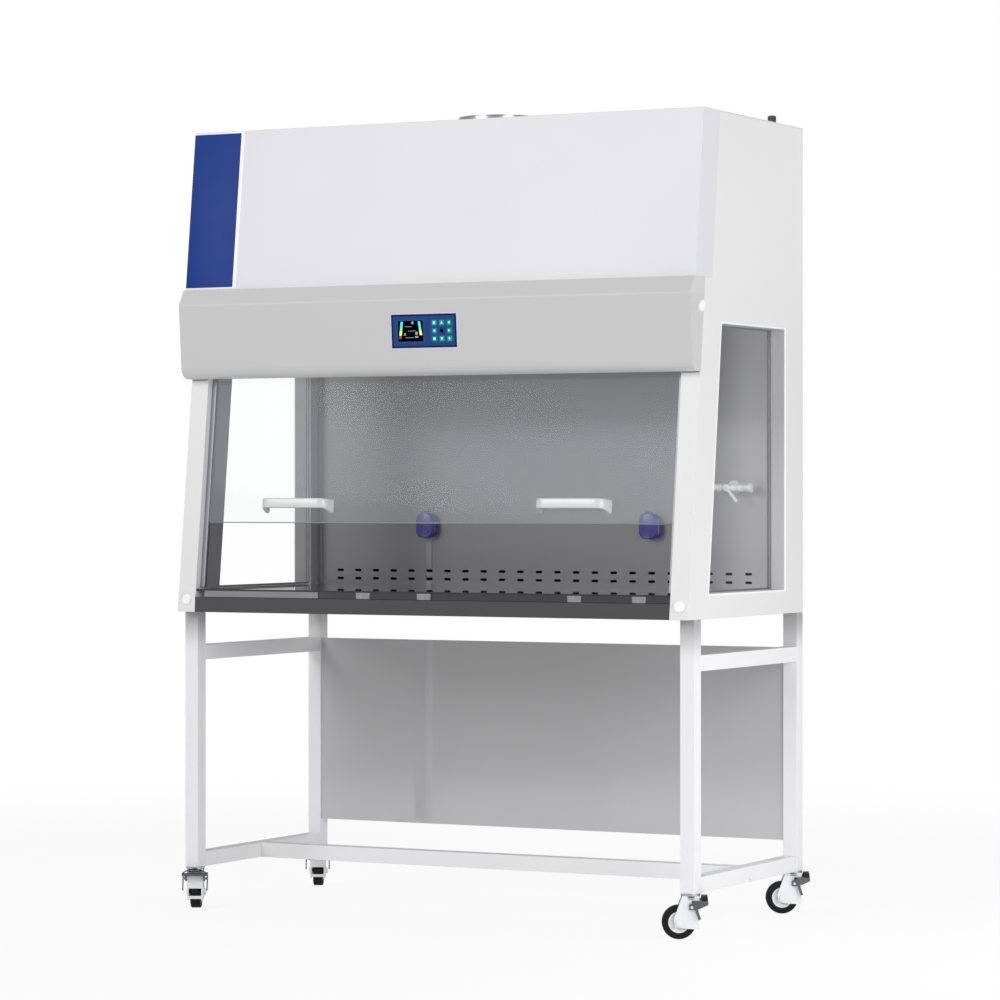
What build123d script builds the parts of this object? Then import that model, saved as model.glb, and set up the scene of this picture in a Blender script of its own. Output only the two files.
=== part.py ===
from build123d import *
import math
import os

# Biosafety cabinet on a wheeled stand. Millimetres, +Z up, front towards -Y.
# The origin is on the floor, in the middle of the footprint that the cabinet and its casters cover.
# A "depth" is measured forwards from the back skin, a "rise" upwards from the cabinet's underside.
# The cabinet is as tall as its chamber, exhaust filter, blower and outlet duct stacked up.

# Cabinet shell
overall_width = 1320.0
foot_depth = 637.0
front_lean = 6.6
sheet = 1.5
side_thickness = 46.0
post_depth = 103.0
window_rear_margin = 103.0
window_sill_rise = 55.0
window_head_rise = 657.0
pane_thickness = 5.0
pane_setback = 4.0

# Stand
leg_size = 35.0
leg_wall = 2.0
front_leg_setback = 33.0
stand_frame_height = 602.0
side_rail_drop = 79.0
crossbar_depth = 319.0
modesty_panel_bottom_gap = 71.0
modesty_panel_height = 450.0
modesty_panel_setback = 30.0

# Upper front cover and control box
fascia_rise = 547.0
fascia_height = 209.0
fascia_top_reach = 59.5
fascia_brow_reach = 76.0
fascia_brow_drop = 37.0
fascia_chin_reach = 43.0
fascia_chin_radius = 28.0
fascia_brow_radius = 8.0
cover_reach = 50.0
cover_return = 88.0

# Display and keypad
display_across = -6.0
display_width = 168.0
display_height = 76.0
display_rise_on_fascia = 100.0
display_proud = 1.0
screen_width = 65.5
screen_height = 47.4
screen_offset = 34.6
screen_thickness = 1.2
key_size = 12.0
key_pitch_across = 19.3
key_pitch_up = 18.2
key_block_offset = 46.6
key_proud = 0.8
key_travel = 0.8
key_flange = 1.2
key_clearance = 0.3

# Work chamber
baffle_depth = 64.0
slot_length = 18.0
slot_height = 6.4
slot_pitch = 50.0
slot_side_margin = 50.0
slot_row_spacing = 20.0
slot_rise_above_tray = 15.0
tray_rise = 54.0
tray_thickness = 4.0
tray_front_margin = 3.0
tray_foot_across = (200.0, 367.0)
tray_foot_depth = 275.0
tray_foot_bottom = 27.0
tray_foot_top = 37.0
beam_size = 35.0
beam_wall = 2.0
beam_setback = 2.5
ceiling_rise = 698.0
ceiling_depth = 500.0
ceiling_flange = 100.0

# Sash
glass_thickness = 5.0
glass_setback = 25.0
glass_height = 520.0
sash_opening = 156.0
glass_side_gap = 0.5
glass_face_gap = 0.3
guide_width = 12.0
guide_depth = 14.0
guide_lip = 2.0
guide_floor_gap = 3.0
handle_length = 186.0
handle_bar_length = 170.0
handle_height = 23.0
handle_foot_height = 32.0
handle_reach = 38.0
handle_thickness = 12.0
handle_edge_radius = 3.0
handle_foot_taper = 2.0
handle_across = 358.0
handle_rise_on_glass = 43.0

# Filter, blower and exhaust
filter_side_margin = 114.0
filter_depth = 340.0
filter_height = 70.0
filter_frame_wall = 20.0
filter_back_depth = 90.0
filter_opening_lip = 30.0
blower_depth = 270.0
blower_clearance = 38.5
blower_outlet_length = 41.5
scroll_radius = 140.0
blower_width = 190.0
inlet_radius = 70.0
impeller_clearance = 23.5
impeller_side_gap = 18.5
impeller_disc_thickness = 3.0
impeller_hub_radius = 18.0
impeller_hub_length = 44.0
impeller_ring_width = 4.0
impeller_blades = 24
blade_depth = 20.0
blade_margin = 3.0
blade_thickness = 1.5
motor_radius = 45.0
motor_length = 110.0
motor_bar_thickness = 3.0
motor_bar_width = 30.0
motor_bar_lap = 15.0
shaft_overhang = 20.0
shaft_radius = 6.0
running_gap = 0.05
collar_margin = 1.5
collar_wall = 2.0
collar_height = 30.0
collar_flange = 22.0

# Lamps
lamp_side_margin = 54.0
lamp_end = 12.0
lamp_width = 60.0
lamp_height = 38.0
lamp_front_margin = 60.0
tube_radius = 8.0
tube_spacing = 26.0

# Services in the chamber
socket_width = 51.0
socket_height = 60.0
socket_across = 301.0
socket_rise_above_tray = 113.0
socket_body_thickness = 14.0
socket_lid_thickness = 14.0
socket_lid_wall = 2.0
socket_hole_radius = 19.0
socket_hole_rise = 27.0
socket_floor = 4.0
socket_gap = 0.4
lid_pin_radius = 1.5
lid_knuckle_radius = 4.0
lid_knuckle_gap = 1.0
lid_ear = 4.0
lid_ear_margin = 2.5
lid_ear_drop = 14.0
lid_notch_margin = 1.0
lid_tongue_thickness = 4.0
lid_tongue_drop = 12.0
lid_knuckle_length = 20.0
conduit_radius = 5.5
conduit_collar_radius = 9.0
conduit_collar_height = 8.0
conduit_clearance = 0.3
cock_wall_margin = 99.0
cock_rise_above_tray = 237.0
cock_rosette_radius = 17.0
cock_rosette_thickness = 6.0
cock_reach = 36.0
cock_stem_radius = 8.0
cock_barrel_radius = 9.0
cock_barrel_left = 38.0
cock_barrel_right = 59.0
cock_ferrule_radius = 11.0
cock_ferrule_length = 8.0
lever_length = 42.0
lever_thickness = 6.0
lever_width = 6.4
lever_hub_radius = 8.0
lever_pin_radius = 3.0
lever_pin_proud = 2.0
lever_rest_angle = -50.0

# Caps and cable gland
cap_radius = 13.0
cap_height = 6.0
cap_edge_radius = 3.6
cap_rise = 29.0
fascia_cap_rise = 145.0
fascia_cap_reach = 18.0
gland_side_margin = 60.0
gland_depth = 42.0
gland_radius = 10.0
gland_height = 28.0
gland_bore = 4.0
gland_nut_radius = 12.5
gland_nut_height = 7.0
gland_body_radius = 8.5
gland_cap_height = 12.6
gland_cap_drop = 2.1

# Casters
wheel_radius = 37.5
wheel_width = 25.0
tyre_edge_radius = 4.0
hub_radius = 24.0
hub_width = 28.0
hub_side_gap = 1.0
axle_radius = 4.0
axle_head_radius = 7.0
axle_head_thickness = 4.0
caster_trail = 26.0
wheel_headroom = 8.7
swivel_clearance = 0.3
plate_radius = 22.0
plate_thickness = 4.0
kingpin_radius = 6.0
kingpin_nut_radius = 10.0
kingpin_nut_thickness = 4.0
head_radius = 19.0
head_length = 26.6
head_thickness = 12.0
fork_arm = 4.0
fork_tail_drop = 15.0
fork_lower_outline = ((12.0, 7.0), (9.0, -9.0), (-8.0, -13.0))
fork_bar_thickness = 4.0
fork_bar_height = 7.0
fork_bar_drop = 9.0
fork_shroud_thickness = 2.0
fork_shroud_height = 30.0
fork_shroud_rise = 27.0
pedal_pin_radius = 3.0
pedal_pin_length = 8.0
pedal_pin_back = 2.0
pedal_pin_rise = 34.0
pedal_arm = 3.0
pedal_arm_gap = 1.0
pedal_arm_front = 4.0
pedal_arm_back = 6.0
pedal_arm_low = 28.0
pedal_arm_high = 40.0
pedal_arm_drop = 12.0
pedal_toe_drop = 4.0
pedal_reach = 38.0
pedal_half_width = 28.0
pedal_thickness = 4.0
pedal_rise = 43.0
pedal_head_gap = 2.0
pedal_ribs = 3
pedal_rib = 2.0
view_turn = 27.7
caster_turns = {
    "left_front": 90.0 + view_turn,
    "left_rear": 90.0 + view_turn,
    "right_front": 180.0 + view_turn,
    "right_rear": 180.0 + view_turn,
}

# Worked-out places
half_width = overall_width / 2
inner_half = half_width - side_thickness
caster_height = 2 * wheel_radius + wheel_headroom + head_thickness + swivel_clearance + plate_thickness
fork_inner_gap = hub_width / 2 + hub_side_gap
cabinet_bottom = caster_height + stand_frame_height
blower_rise = ceiling_rise + sheet + filter_height + blower_clearance + scroll_radius
cabinet_height = blower_rise + scroll_radius + blower_outlet_length + sheet
cabinet_top = cabinet_bottom + cabinet_height
side_top = cabinet_top - sheet
lean_slope = math.tan(math.radians(front_lean))
fascia_bottom = cabinet_bottom + fascia_rise
fascia_top = fascia_bottom + fascia_height
tray_top = cabinet_bottom + tray_rise
ceiling_bottom = cabinet_bottom + ceiling_rise
blower_height = cabinet_bottom + blower_rise
impeller_radius = scroll_radius - sheet - impeller_clearance
impeller_width = blower_width - 2 * (sheet + impeller_side_gap)
collar_radius = blower_width / 2 - sheet - collar_margin
filter_width = 2 * (inner_half - filter_side_margin)
lamp_length = 2 * (inner_half - lamp_side_margin)
lamp_depth = ceiling_depth - lamp_front_margin - lamp_width / 2
cock_across = inner_half - cock_wall_margin
gland_across = half_width - gland_side_margin
slot_columns = 1 + int((2 * (inner_half - slot_side_margin) - slot_length) / slot_pitch)
leg_across = half_width - leg_size / 2
front_leg_depth = foot_depth - front_leg_setback - leg_size / 2
rear_leg_depth = leg_size / 2
front_reach = foot_depth + cap_height
caster_swing = caster_trail + wheel_radius
rear_reach = math.cos(math.radians(view_turn)) * caster_swing - rear_leg_depth
origin_depth = (front_reach - rear_reach) / 2


def at_depth(depth):
    return origin_depth - depth


def front_depth(height):
    return foot_depth - lean_slope * (height - cabinet_bottom)


def block(x_range, depth_range, z_range):
    """A box between two x values, two depths and two heights."""
    size = [high - low for low, high in (x_range, depth_range, z_range)]
    centre = (sum(x_range) / 2, at_depth(sum(depth_range) / 2), sum(z_range) / 2)
    return Pos(*centre) * Box(*size)


def prism(outline, x_low, x_high):
    """A side outline of (depth, height) points, carried across from x_low to x_high."""
    points = [(at_depth(depth), height) for depth, height in outline]
    face = Plane.YZ.offset(x_low) * make_face(Polyline(*points, close=True))
    return extrude(face, amount=x_high - x_low, dir=(1, 0, 0))


def rod_x(radius, x_low, x_high, depth, height):
    """A round bar along X."""
    place = Pos((x_low + x_high) / 2, at_depth(depth), height)
    return place * Rot(0, 90, 0) * Cylinder(radius, x_high - x_low)


def rod_forward(radius, depth_low, depth_high, across, height):
    """A round bar along the depth."""
    place = Pos(across, at_depth((depth_low + depth_high) / 2), height)
    return place * Rot(90, 0, 0) * Cylinder(radius, depth_high - depth_low)


def rod_up(radius, z_low, z_high, across, depth):
    """A round bar along Z."""
    return Pos(across, at_depth(depth), (z_low + z_high) / 2) * Cylinder(radius, z_high - z_low)


def leaning_frame(height, setback):
    """A frame in the leaning front: x across, y up the slope, z outwards."""
    lean = math.radians(front_lean)
    depth = front_depth(height) - setback / math.cos(lean)
    return Plane(
        origin=(0, at_depth(depth), height),
        x_dir=(1, 0, 0),
        z_dir=(0, -math.cos(lean), math.sin(lean)),
    )


# ---------------------------------------------------------------- shell
def window_outline(grow):
    """The side window's outline, grown by a margin on every side."""
    sill = cabinet_bottom + window_sill_rise - grow
    head = cabinet_bottom + window_head_rise + grow
    margin = post_depth - grow
    rear = window_rear_margin - grow
    return [
        (rear, sill),
        (front_depth(sill) - margin, sill),
        (front_depth(head) - margin, head),
        (rear, head),
    ]


def side_panel(side):
    """A box-section side wall with a window and a leaning front post."""
    x_low, x_high = sorted((side * inner_half, side * half_width))
    body = prism(
        [
            (sheet, cabinet_bottom),
            (foot_depth, cabinet_bottom),
            (front_depth(side_top), side_top),
            (sheet, side_top),
        ],
        x_low,
        x_high,
    )
    low = cabinet_bottom + sheet
    high = side_top - sheet
    hollow = prism(
        [
            (0, low),
            (front_depth(low) - sheet, low),
            (front_depth(high) - sheet, high),
            (0, high),
        ],
        x_low + sheet,
        x_high - sheet,
    )
    jambs = prism(window_outline(sheet), x_low, x_high)
    return body - prism(window_outline(0), x_low, x_high) - (hollow - jambs)


def side_windows():
    """A clear pane in each side wall, close to its inner face."""
    near = inner_half + pane_setback
    far = near + pane_thickness
    return [prism(window_outline(0), near, far), prism(window_outline(0), -far, -near)]


def rear_panel():
    return block((-half_width, half_width), (0, sheet), (cabinet_bottom, side_top))


def roof_panel():
    """The roof skin, with holes for the exhaust collar and the cable gland."""
    skin = block((-half_width, half_width), (0, front_depth(cabinet_top)), (side_top, cabinet_top))
    skin -= rod_up(collar_radius, side_top - 1, cabinet_top + 1, 0, blower_depth)
    return skin - rod_up(gland_bore, side_top - 1, cabinet_top + 1, gland_across, gland_depth)


def upper_front_cover():
    """A folded cover that stands out from the leaning front and wraps back over both sides."""
    back = cover_reach - cover_return
    outer_half = half_width + sheet
    solid = prism(
        [
            (front_depth(fascia_top) + back, fascia_top),
            (front_depth(fascia_top) + cover_reach, fascia_top),
            (front_depth(cabinet_top) + cover_reach, cabinet_top),
            (front_depth(cabinet_top) + back, cabinet_top),
        ],
        -outer_half,
        outer_half,
    )
    inner = prism(
        [
            (front_depth(fascia_top) + back - 1, fascia_top - 1),
            (front_depth(fascia_top - 1) + cover_reach - sheet, fascia_top - 1),
            (front_depth(side_top) + cover_reach - sheet, side_top),
            (front_depth(side_top) + back - 1, side_top),
        ],
        -half_width,
        half_width,
    )
    roof_step = block(
        (-half_width, half_width),
        (0, front_depth(cabinet_top)),
        (side_top - 1, cabinet_top + 1),
    )
    return solid - inner - roof_step


def fascia_front_depth(height):
    """Depth of the control box's flat front face at a height."""
    brow = fascia_top - fascia_brow_drop
    brow_depth = front_depth(brow) + fascia_brow_reach
    chin_depth = front_depth(fascia_bottom) + fascia_chin_reach
    return chin_depth + (brow_depth - chin_depth) * (height - fascia_bottom) / (brow - fascia_bottom)


def fascia_face(inset):
    """The control box's side outline, moved in by an inset, with its brow and chin rounded."""
    brow = fascia_top - fascia_brow_drop
    corners = [
        (front_depth(fascia_bottom), fascia_bottom),
        (fascia_front_depth(fascia_bottom), fascia_bottom),
        (fascia_front_depth(brow), brow),
        (front_depth(fascia_top) + fascia_top_reach, fascia_top),
        (front_depth(fascia_top), fascia_top),
    ]
    points = [(at_depth(depth), height) for depth, height in corners]
    face = make_face(Polyline(*points, close=True))
    chin = face.vertices().sort_by_distance((*points[1], 0))[0]
    face = fillet(chin, fascia_chin_radius)
    nose = face.vertices().sort_by_distance((*points[2], 0))[0]
    face = fillet(nose, fascia_brow_radius)
    return offset(face, amount=-inset) if inset else face


def display_frame():
    """A frame on the control box's front face: x across, y up the face, z outwards."""
    height = fascia_bottom + display_rise_on_fascia
    tilt = math.atan((fascia_front_depth(height + 1) - fascia_front_depth(height)))
    return Plane(
        origin=(display_across, at_depth(fascia_front_depth(height)), height),
        x_dir=(1, 0, 0),
        z_dir=(0, -math.cos(tilt), -math.sin(tilt)),
    )


def control_fascia():
    """The full-width folded control box, open at its back, with the display's cut-out."""
    outer_half = half_width + sheet
    outer = extrude(Plane.YZ.offset(-outer_half) * fascia_face(0), amount=2 * outer_half, dir=(1, 0, 0))
    inner_half_width = outer_half - sheet
    inner = extrude(
        Plane.YZ.offset(-inner_half_width) * fascia_face(sheet),
        amount=2 * inner_half_width,
        dir=(1, 0, 0),
    )
    low = fascia_bottom + sheet
    high = fascia_top - sheet
    back = prism(
        [
            (front_depth(low) - 1, low),
            (front_depth(low) + 2 * sheet, low),
            (front_depth(high) + 2 * sheet, high),
            (front_depth(high) - 1, high),
        ],
        -inner_half_width,
        inner_half_width,
    )
    cut = display_frame() * Box(display_width, display_height, 8 * sheet)
    return outer - inner - back - cut


# ---------------------------------------------------------------- display and keypad
def key_places():
    """Each key's name and centre on the display frame, row by row from the top."""
    places = {}
    for row in range(3):
        for column in range(3):
            across = key_block_offset + (column - 1) * key_pitch_across
            up = (1 - row) * key_pitch_up
            places[f"key_{3 * row + column + 1}"] = (across, up)
    return places


def display_bezel():
    """The display's surround, with the screen's cut-out and the nine key holes."""
    thickness = sheet + display_proud
    plate = Pos(0, 0, display_proud - thickness / 2) * Box(display_width, display_height, thickness)
    plate -= Pos(-screen_offset, 0, 0) * Box(screen_width, screen_height, 8 * sheet)
    hole = key_size + 2 * key_clearance
    for across, up in key_places().values():
        plate -= Pos(across, up, 0) * Box(hole, hole, 8 * sheet)
    return display_frame() * plate


def display_screen():
    middle = display_proud - screen_thickness
    glass = Box(screen_width, screen_height, screen_thickness)
    return display_frame() * Pos(-screen_offset, 0, middle) * glass


def key(across, up):
    """A square push button with a flange behind the bezel that keeps it in."""
    top = display_proud + key_proud
    bottom = -sheet - key_clearance - key_travel
    cap = Pos(0, 0, (top + bottom) / 2) * Box(key_size, key_size, top - bottom)
    flange_top = -sheet - key_clearance
    flange_size = key_size + 2 * (key_clearance + key_flange)
    flange = Pos(0, 0, flange_top - key_flange / 2) * Box(flange_size, flange_size, key_flange)
    return display_frame() * Pos(across, up, 0) * (cap + flange)


# ---------------------------------------------------------------- work chamber
def rear_baffle():
    """The chamber's back wall, with two rows of round-ended air slots."""
    wall = block(
        (-inner_half, inner_half),
        (baffle_depth - sheet, baffle_depth),
        (cabinet_bottom + sheet, ceiling_bottom),
    )
    spread = slot_pitch * (slot_columns - 1) / 2
    middle = at_depth(baffle_depth)
    slots = []
    for row in range(2):
        height = tray_top + slot_rise_above_tray + row * slot_row_spacing
        for column in range(slot_columns):
            across = column * slot_pitch - spread
            frame = Plane((across, middle, height), x_dir=(1, 0, 0), z_dir=(0, -1, 0))
            outline = frame * SlotOverall(slot_length, slot_height)
            slots.append(extrude(outline, amount=2 * sheet, both=True))
    return wall - slots


def work_tray():
    """The polished worktop: a thin tray with its edges turned down, notched for the conduit."""
    front = front_depth(tray_top) - tray_front_margin
    low = tray_top - tray_thickness
    tray = block((-inner_half, inner_half), (baffle_depth, front), (low, tray_top))
    tray -= block(
        (-inner_half + sheet, inner_half - sheet),
        (baffle_depth + sheet, front - sheet),
        (low - 1, tray_top - sheet),
    )
    notch = conduit_collar_radius + conduit_clearance
    return tray - rod_up(notch, low - 1, tray_top + 1, -socket_across, conduit_depth())


def tray_feet():
    """Four tapered feet between the drain pan and the tray."""
    low = cabinet_bottom + sheet
    high = tray_top - sheet
    feet = []
    for across in tray_foot_across:
        for side in (-1, 1):
            base = Plane((side * across, at_depth(tray_foot_depth), low))
            lid = Plane((side * across, at_depth(tray_foot_depth), high))
            bottom = base * Rectangle(tray_foot_bottom, tray_foot_bottom)
            top = lid * Rectangle(tray_foot_top, tray_foot_top)
            feet.append(loft([bottom, top]))
    return feet


def beam_front_depth():
    return foot_depth - beam_setback


def drain_pan():
    """The cabinet's floor: a sheet turned up behind the front beam."""
    back = beam_front_depth() - beam_size
    floor = block((-inner_half, inner_half), (sheet, back), (cabinet_bottom, cabinet_bottom + sheet))
    lip = block(
        (-inner_half, inner_half),
        (back - sheet, back),
        (cabinet_bottom + sheet, cabinet_bottom + beam_size),
    )
    return floor + lip


def front_beam():
    """A square tube across the front, under the worktop's edge."""
    front = beam_front_depth()
    low = cabinet_bottom
    tube = block((-inner_half, inner_half), (front - beam_size, front), (low, low + beam_size))
    return tube - block(
        (-inner_half - 1, inner_half + 1),
        (front - beam_size + beam_wall, front - beam_wall),
        (low + beam_wall, low + beam_size - beam_wall),
    )


def ceiling_panel():
    """The chamber's ceiling, with the filter's opening and a flange turned up at its front."""
    low = ceiling_bottom
    panel = block((-inner_half, inner_half), (baffle_depth - sheet, ceiling_depth), (low, low + sheet))
    panel += block(
        (-inner_half, inner_half),
        (ceiling_depth - sheet, ceiling_depth),
        (low, low + ceiling_flange),
    )
    half = filter_width / 2 - filter_opening_lip
    back = filter_back_depth + filter_opening_lip
    front = filter_back_depth + filter_depth - filter_opening_lip
    return panel - block((-half, half), (back, front), (low - 1, low + sheet + 1))


# ---------------------------------------------------------------- sash
def sash_frame():
    """The glass's mid-plane, from the worktop's height upwards."""
    return leaning_frame(tray_top, glass_setback)


def glass_half_width():
    return inner_half - sheet - glass_side_gap


def sash_glass():
    middle = sash_opening + glass_height / 2
    return sash_frame() * Pos(0, middle, 0) * Box(2 * glass_half_width(), glass_height, glass_thickness)


def sash_guides():
    """A channel on each side wall that the glass's edge runs in."""
    lean = math.radians(front_lean)
    corner = guide_depth / 2 * math.tan(lean)
    low = corner + guide_floor_gap / math.cos(lean)
    high = (side_top - tray_top) / math.cos(lean) - corner - guide_lip
    guides = []
    for side in (-1, 1):
        middle = side * (inner_half - guide_width / 2)
        bar = Pos(middle, (low + high) / 2, 0) * Box(guide_width, high - low, guide_depth)
        groove_width = guide_width - sheet
        groove_middle = side * (inner_half - sheet - groove_width / 2)
        groove = Pos(groove_middle - side * 0.5, (low + high) / 2, 0) * Box(
            groove_width + 1, high - low + 2, glass_thickness + 2 * glass_face_gap
        )
        keep = Pos(side * (inner_half - sheet / 2), (low + high) / 2, 0) * Box(sheet, high - low, guide_depth)
        guides.append(sash_frame() * (bar - groove + keep))
    return guides


def handle(side):
    """A bridge handle: a bar held off the glass by two feet that deepen towards it."""
    face = glass_thickness / 2
    bar_middle = face + handle_reach - handle_thickness / 2
    bar = Pos(0, 0, bar_middle) * Box(handle_bar_length, handle_height, handle_thickness)
    bar = fillet(bar.edges().filter_by(Axis.X), handle_edge_radius)
    drop = (handle_foot_height - handle_height) / 2
    foot_width = (handle_length - handle_bar_length) / 2 + handle_thickness / 2
    shape = bar
    for end in (-1, 1):
        base_middle = end * (handle_length - foot_width) / 2
        top_middle = end * (handle_bar_length - foot_width) / 2
        base = Plane((base_middle, -drop, face)) * Rectangle(foot_width, handle_foot_height)
        top = Plane((top_middle, 0, bar_middle)) * Rectangle(
            foot_width - handle_foot_taper, handle_height - handle_foot_taper
        )
        shape += loft([base, top])
    height = sash_opening + handle_rise_on_glass
    return sash_frame() * Pos(side * handle_across, height, 0) * shape


# ---------------------------------------------------------------- filter, blower, exhaust
def filter_box(margin, low, high):
    half = filter_width / 2 - margin
    depths = (filter_back_depth + margin, filter_back_depth + filter_depth - margin)
    return block((-half, half), depths, (low, high))


def exhaust_filter_frame():
    low = ceiling_bottom + sheet
    high = low + filter_height
    return filter_box(0, low, high) - filter_box(filter_frame_wall, low - 1, high + 1)


def exhaust_filter_media():
    low = ceiling_bottom + sheet
    return filter_box(filter_frame_wall, low, low + filter_height)


def blower_shape(inset):
    """The scroll and its square outlet duct, moved in by an inset."""
    half = blower_width / 2 - inset
    scroll = rod_x(scroll_radius - inset, -half, half, blower_depth, blower_height)
    depths = (blower_depth - half, blower_depth + half)
    return scroll + block((-half, half), depths, (blower_height, side_top))


def blower_housing():
    """The hollow scroll, hung from the roof by its outlet, with an inlet on each side."""
    inside = blower_shape(sheet)
    top_cut = block(
        (-blower_width / 2 + sheet, blower_width / 2 - sheet),
        (blower_depth - blower_width / 2 + sheet, blower_depth + blower_width / 2 - sheet),
        (side_top - sheet, side_top + 1),
    )
    inlet = rod_x(inlet_radius, -blower_width, blower_width, blower_depth, blower_height)
    return blower_shape(0) - inside - top_cut - inlet


def blower_impeller():
    """A bladed wheel on a centre disc and hub."""
    half = impeller_width / 2
    place = (blower_depth, blower_height)
    disc_half = impeller_disc_thickness / 2
    hub_half = impeller_hub_length / 2
    wheel = rod_x(impeller_radius, -disc_half, disc_half, *place)
    wheel += rod_x(impeller_hub_radius, -hub_half, hub_half, *place)
    inner = impeller_radius - blade_depth
    for side in (-1, 1):
        x_low, x_high = sorted((side * half, side * (half - impeller_ring_width)))
        ring = rod_x(impeller_radius, x_low, x_high, *place)
        wheel += ring - rod_x(inner, x_low - 1, x_high + 1, *place)
    centre = Pos(0, at_depth(blower_depth), blower_height)
    middle = impeller_radius - blade_depth / 2
    for blade in range(impeller_blades):
        angle = 360.0 * (blade + 0.5) / impeller_blades
        vane = Pos(0, 0, middle) * Box(
            impeller_width - impeller_ring_width, blade_thickness, blade_depth - 2 * blade_margin
        )
        wheel += centre * Rot(angle, 0, 0) * vane
    return wheel - rod_x(shaft_radius + running_gap, -hub_half - 1, hub_half + 1, *place)


def blower_motor():
    """The motor on a bar across the right inlet, with its shaft through the wheel's hub."""
    face = blower_width / 2
    bar_half = inlet_radius + motor_bar_lap
    bar = block(
        (face, face + motor_bar_thickness),
        (blower_depth - motor_bar_width / 2, blower_depth + motor_bar_width / 2),
        (blower_height - bar_half, blower_height + bar_half),
    )
    can_start = face + motor_bar_thickness
    can = rod_x(motor_radius, can_start, can_start + motor_length, blower_depth, blower_height)
    shaft = rod_x(shaft_radius, -shaft_overhang, can_start, blower_depth, blower_height)
    return bar + can + shaft


def exhaust_collar():
    """The round spigot on the roof that exhaust ducting fits over."""
    tube = rod_up(collar_radius + collar_wall, cabinet_top, cabinet_top + collar_height, 0, blower_depth)
    flange = rod_up(
        collar_radius + collar_flange, cabinet_top, cabinet_top + collar_wall, 0, blower_depth
    )
    bore = rod_up(collar_radius, cabinet_top - 1, cabinet_top + collar_height + 1, 0, blower_depth)
    return tube + flange - bore


# ---------------------------------------------------------------- lamps
def lamp_housing():
    """A channel under the ceiling with closed ends that hold the tubes."""
    half = lamp_length / 2
    depths = (lamp_depth - lamp_width / 2, lamp_depth + lamp_width / 2)
    low = ceiling_bottom - lamp_height
    body = block((-half, half), depths, (low, ceiling_bottom))
    return body - block(
        (-half + lamp_end, half - lamp_end),
        (depths[0] + sheet, depths[1] - sheet),
        (low - 1, ceiling_bottom - sheet),
    )


def lamp_tubes():
    half = lamp_length / 2 - lamp_end
    height = ceiling_bottom - lamp_height / 2 - tube_radius / 2
    return [
        rod_x(tube_radius, -half, half, lamp_depth + side * tube_spacing / 2, height) for side in (-1, 1)
    ]


# ---------------------------------------------------------------- services in the chamber
def socket_outline(across, depth, inset):
    """A cover outline with a domed top, on the plane at a depth, facing forwards."""
    middle = tray_top + socket_rise_above_tray + socket_height / 2
    half = socket_width / 2 - inset
    straight = socket_height / 2 - socket_width / 4
    frame = Plane((across, at_depth(depth), middle), x_dir=(1, 0, 0), z_dir=(0, -1, 0))
    low = -socket_height / 2 + inset
    crown = socket_height / 2 - inset
    edge = Polyline((-half, straight), (-half, low), (half, low), (half, straight))
    top = ThreePointArc((half, straight), (0, crown), (-half, straight))
    return frame * make_face(Curve() + edge + top)


def lid_pin_place():
    """Depth and height of the lid's hinge pin."""
    depth = baffle_depth + socket_body_thickness + socket_gap + lid_knuckle_radius / 2
    height = tray_top + socket_rise_above_tray + socket_height + lid_knuckle_radius + lid_knuckle_gap
    return depth, height


def socket_body(across):
    """The wall box of a waterproof socket, with two ears and the hinge pin for its lid."""
    body = extrude(socket_outline(across, baffle_depth, 0), amount=socket_body_thickness)
    front = baffle_depth + socket_body_thickness
    middle = tray_top + socket_rise_above_tray + socket_hole_rise
    body -= rod_forward(socket_hole_radius, baffle_depth + socket_floor, front + 1, across, middle)
    depth, height = lid_pin_place()
    ear_inner = lid_knuckle_length / 2 + socket_gap
    for side in (-1, 1):
        x_range = sorted((across + side * ear_inner, across + side * (ear_inner + lid_ear)))
        body += block(
            x_range,
            (baffle_depth, depth + lid_ear_margin),
            (height - lid_ear_drop, height + lid_ear_margin),
        )
    return body + rod_x(lid_pin_radius, across - ear_inner, across + ear_inner, depth, height)


def socket_lid(across):
    """The hinged cover of a socket, hollow behind, with a knuckle round the pin."""
    back = baffle_depth + socket_body_thickness + socket_gap
    lid = extrude(socket_outline(across, back, 0), amount=socket_lid_thickness)
    cavity = socket_outline(across, back - 1, socket_lid_wall)
    lid -= extrude(cavity, amount=socket_lid_thickness + 1 - socket_lid_wall)
    depth, height = lid_pin_place()
    half = lid_knuckle_length / 2
    ear_inner = half + socket_gap
    ear_outer = ear_inner + lid_ear + socket_gap
    for side in (-1, 1):
        x_range = sorted((across + side * (ear_inner - socket_gap), across + side * ear_outer))
        lid -= block(
            x_range,
            (back - 1, depth + lid_ear_margin + socket_gap),
            (height - lid_ear_drop - lid_notch_margin, height + 2 * lid_ear_margin),
        )
    lid += block(
        (across - half, across + half),
        (back, back + lid_tongue_thickness),
        (height - lid_tongue_drop, height),
    )
    lid += rod_x(lid_knuckle_radius, across - half, across + half, depth, height)
    lid -= rod_x(lid_pin_radius + running_gap, across - half - 1, across + half + 1, depth, height)
    return lid


def conduit_depth():
    return baffle_depth + conduit_collar_radius


def socket_conduit():
    """The conduit from the left socket through the worktop to the drain pan, with its collar."""
    place = (-socket_across, conduit_depth())
    high = tray_top + socket_rise_above_tray
    tube = rod_up(conduit_radius, cabinet_bottom + sheet, high, *place)
    collar_range = (tray_top - tray_thickness, tray_top + conduit_collar_height)
    return tube + rod_up(conduit_collar_radius, *collar_range, *place)


def cock_height():
    return tray_top + cock_rise_above_tray


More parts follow.
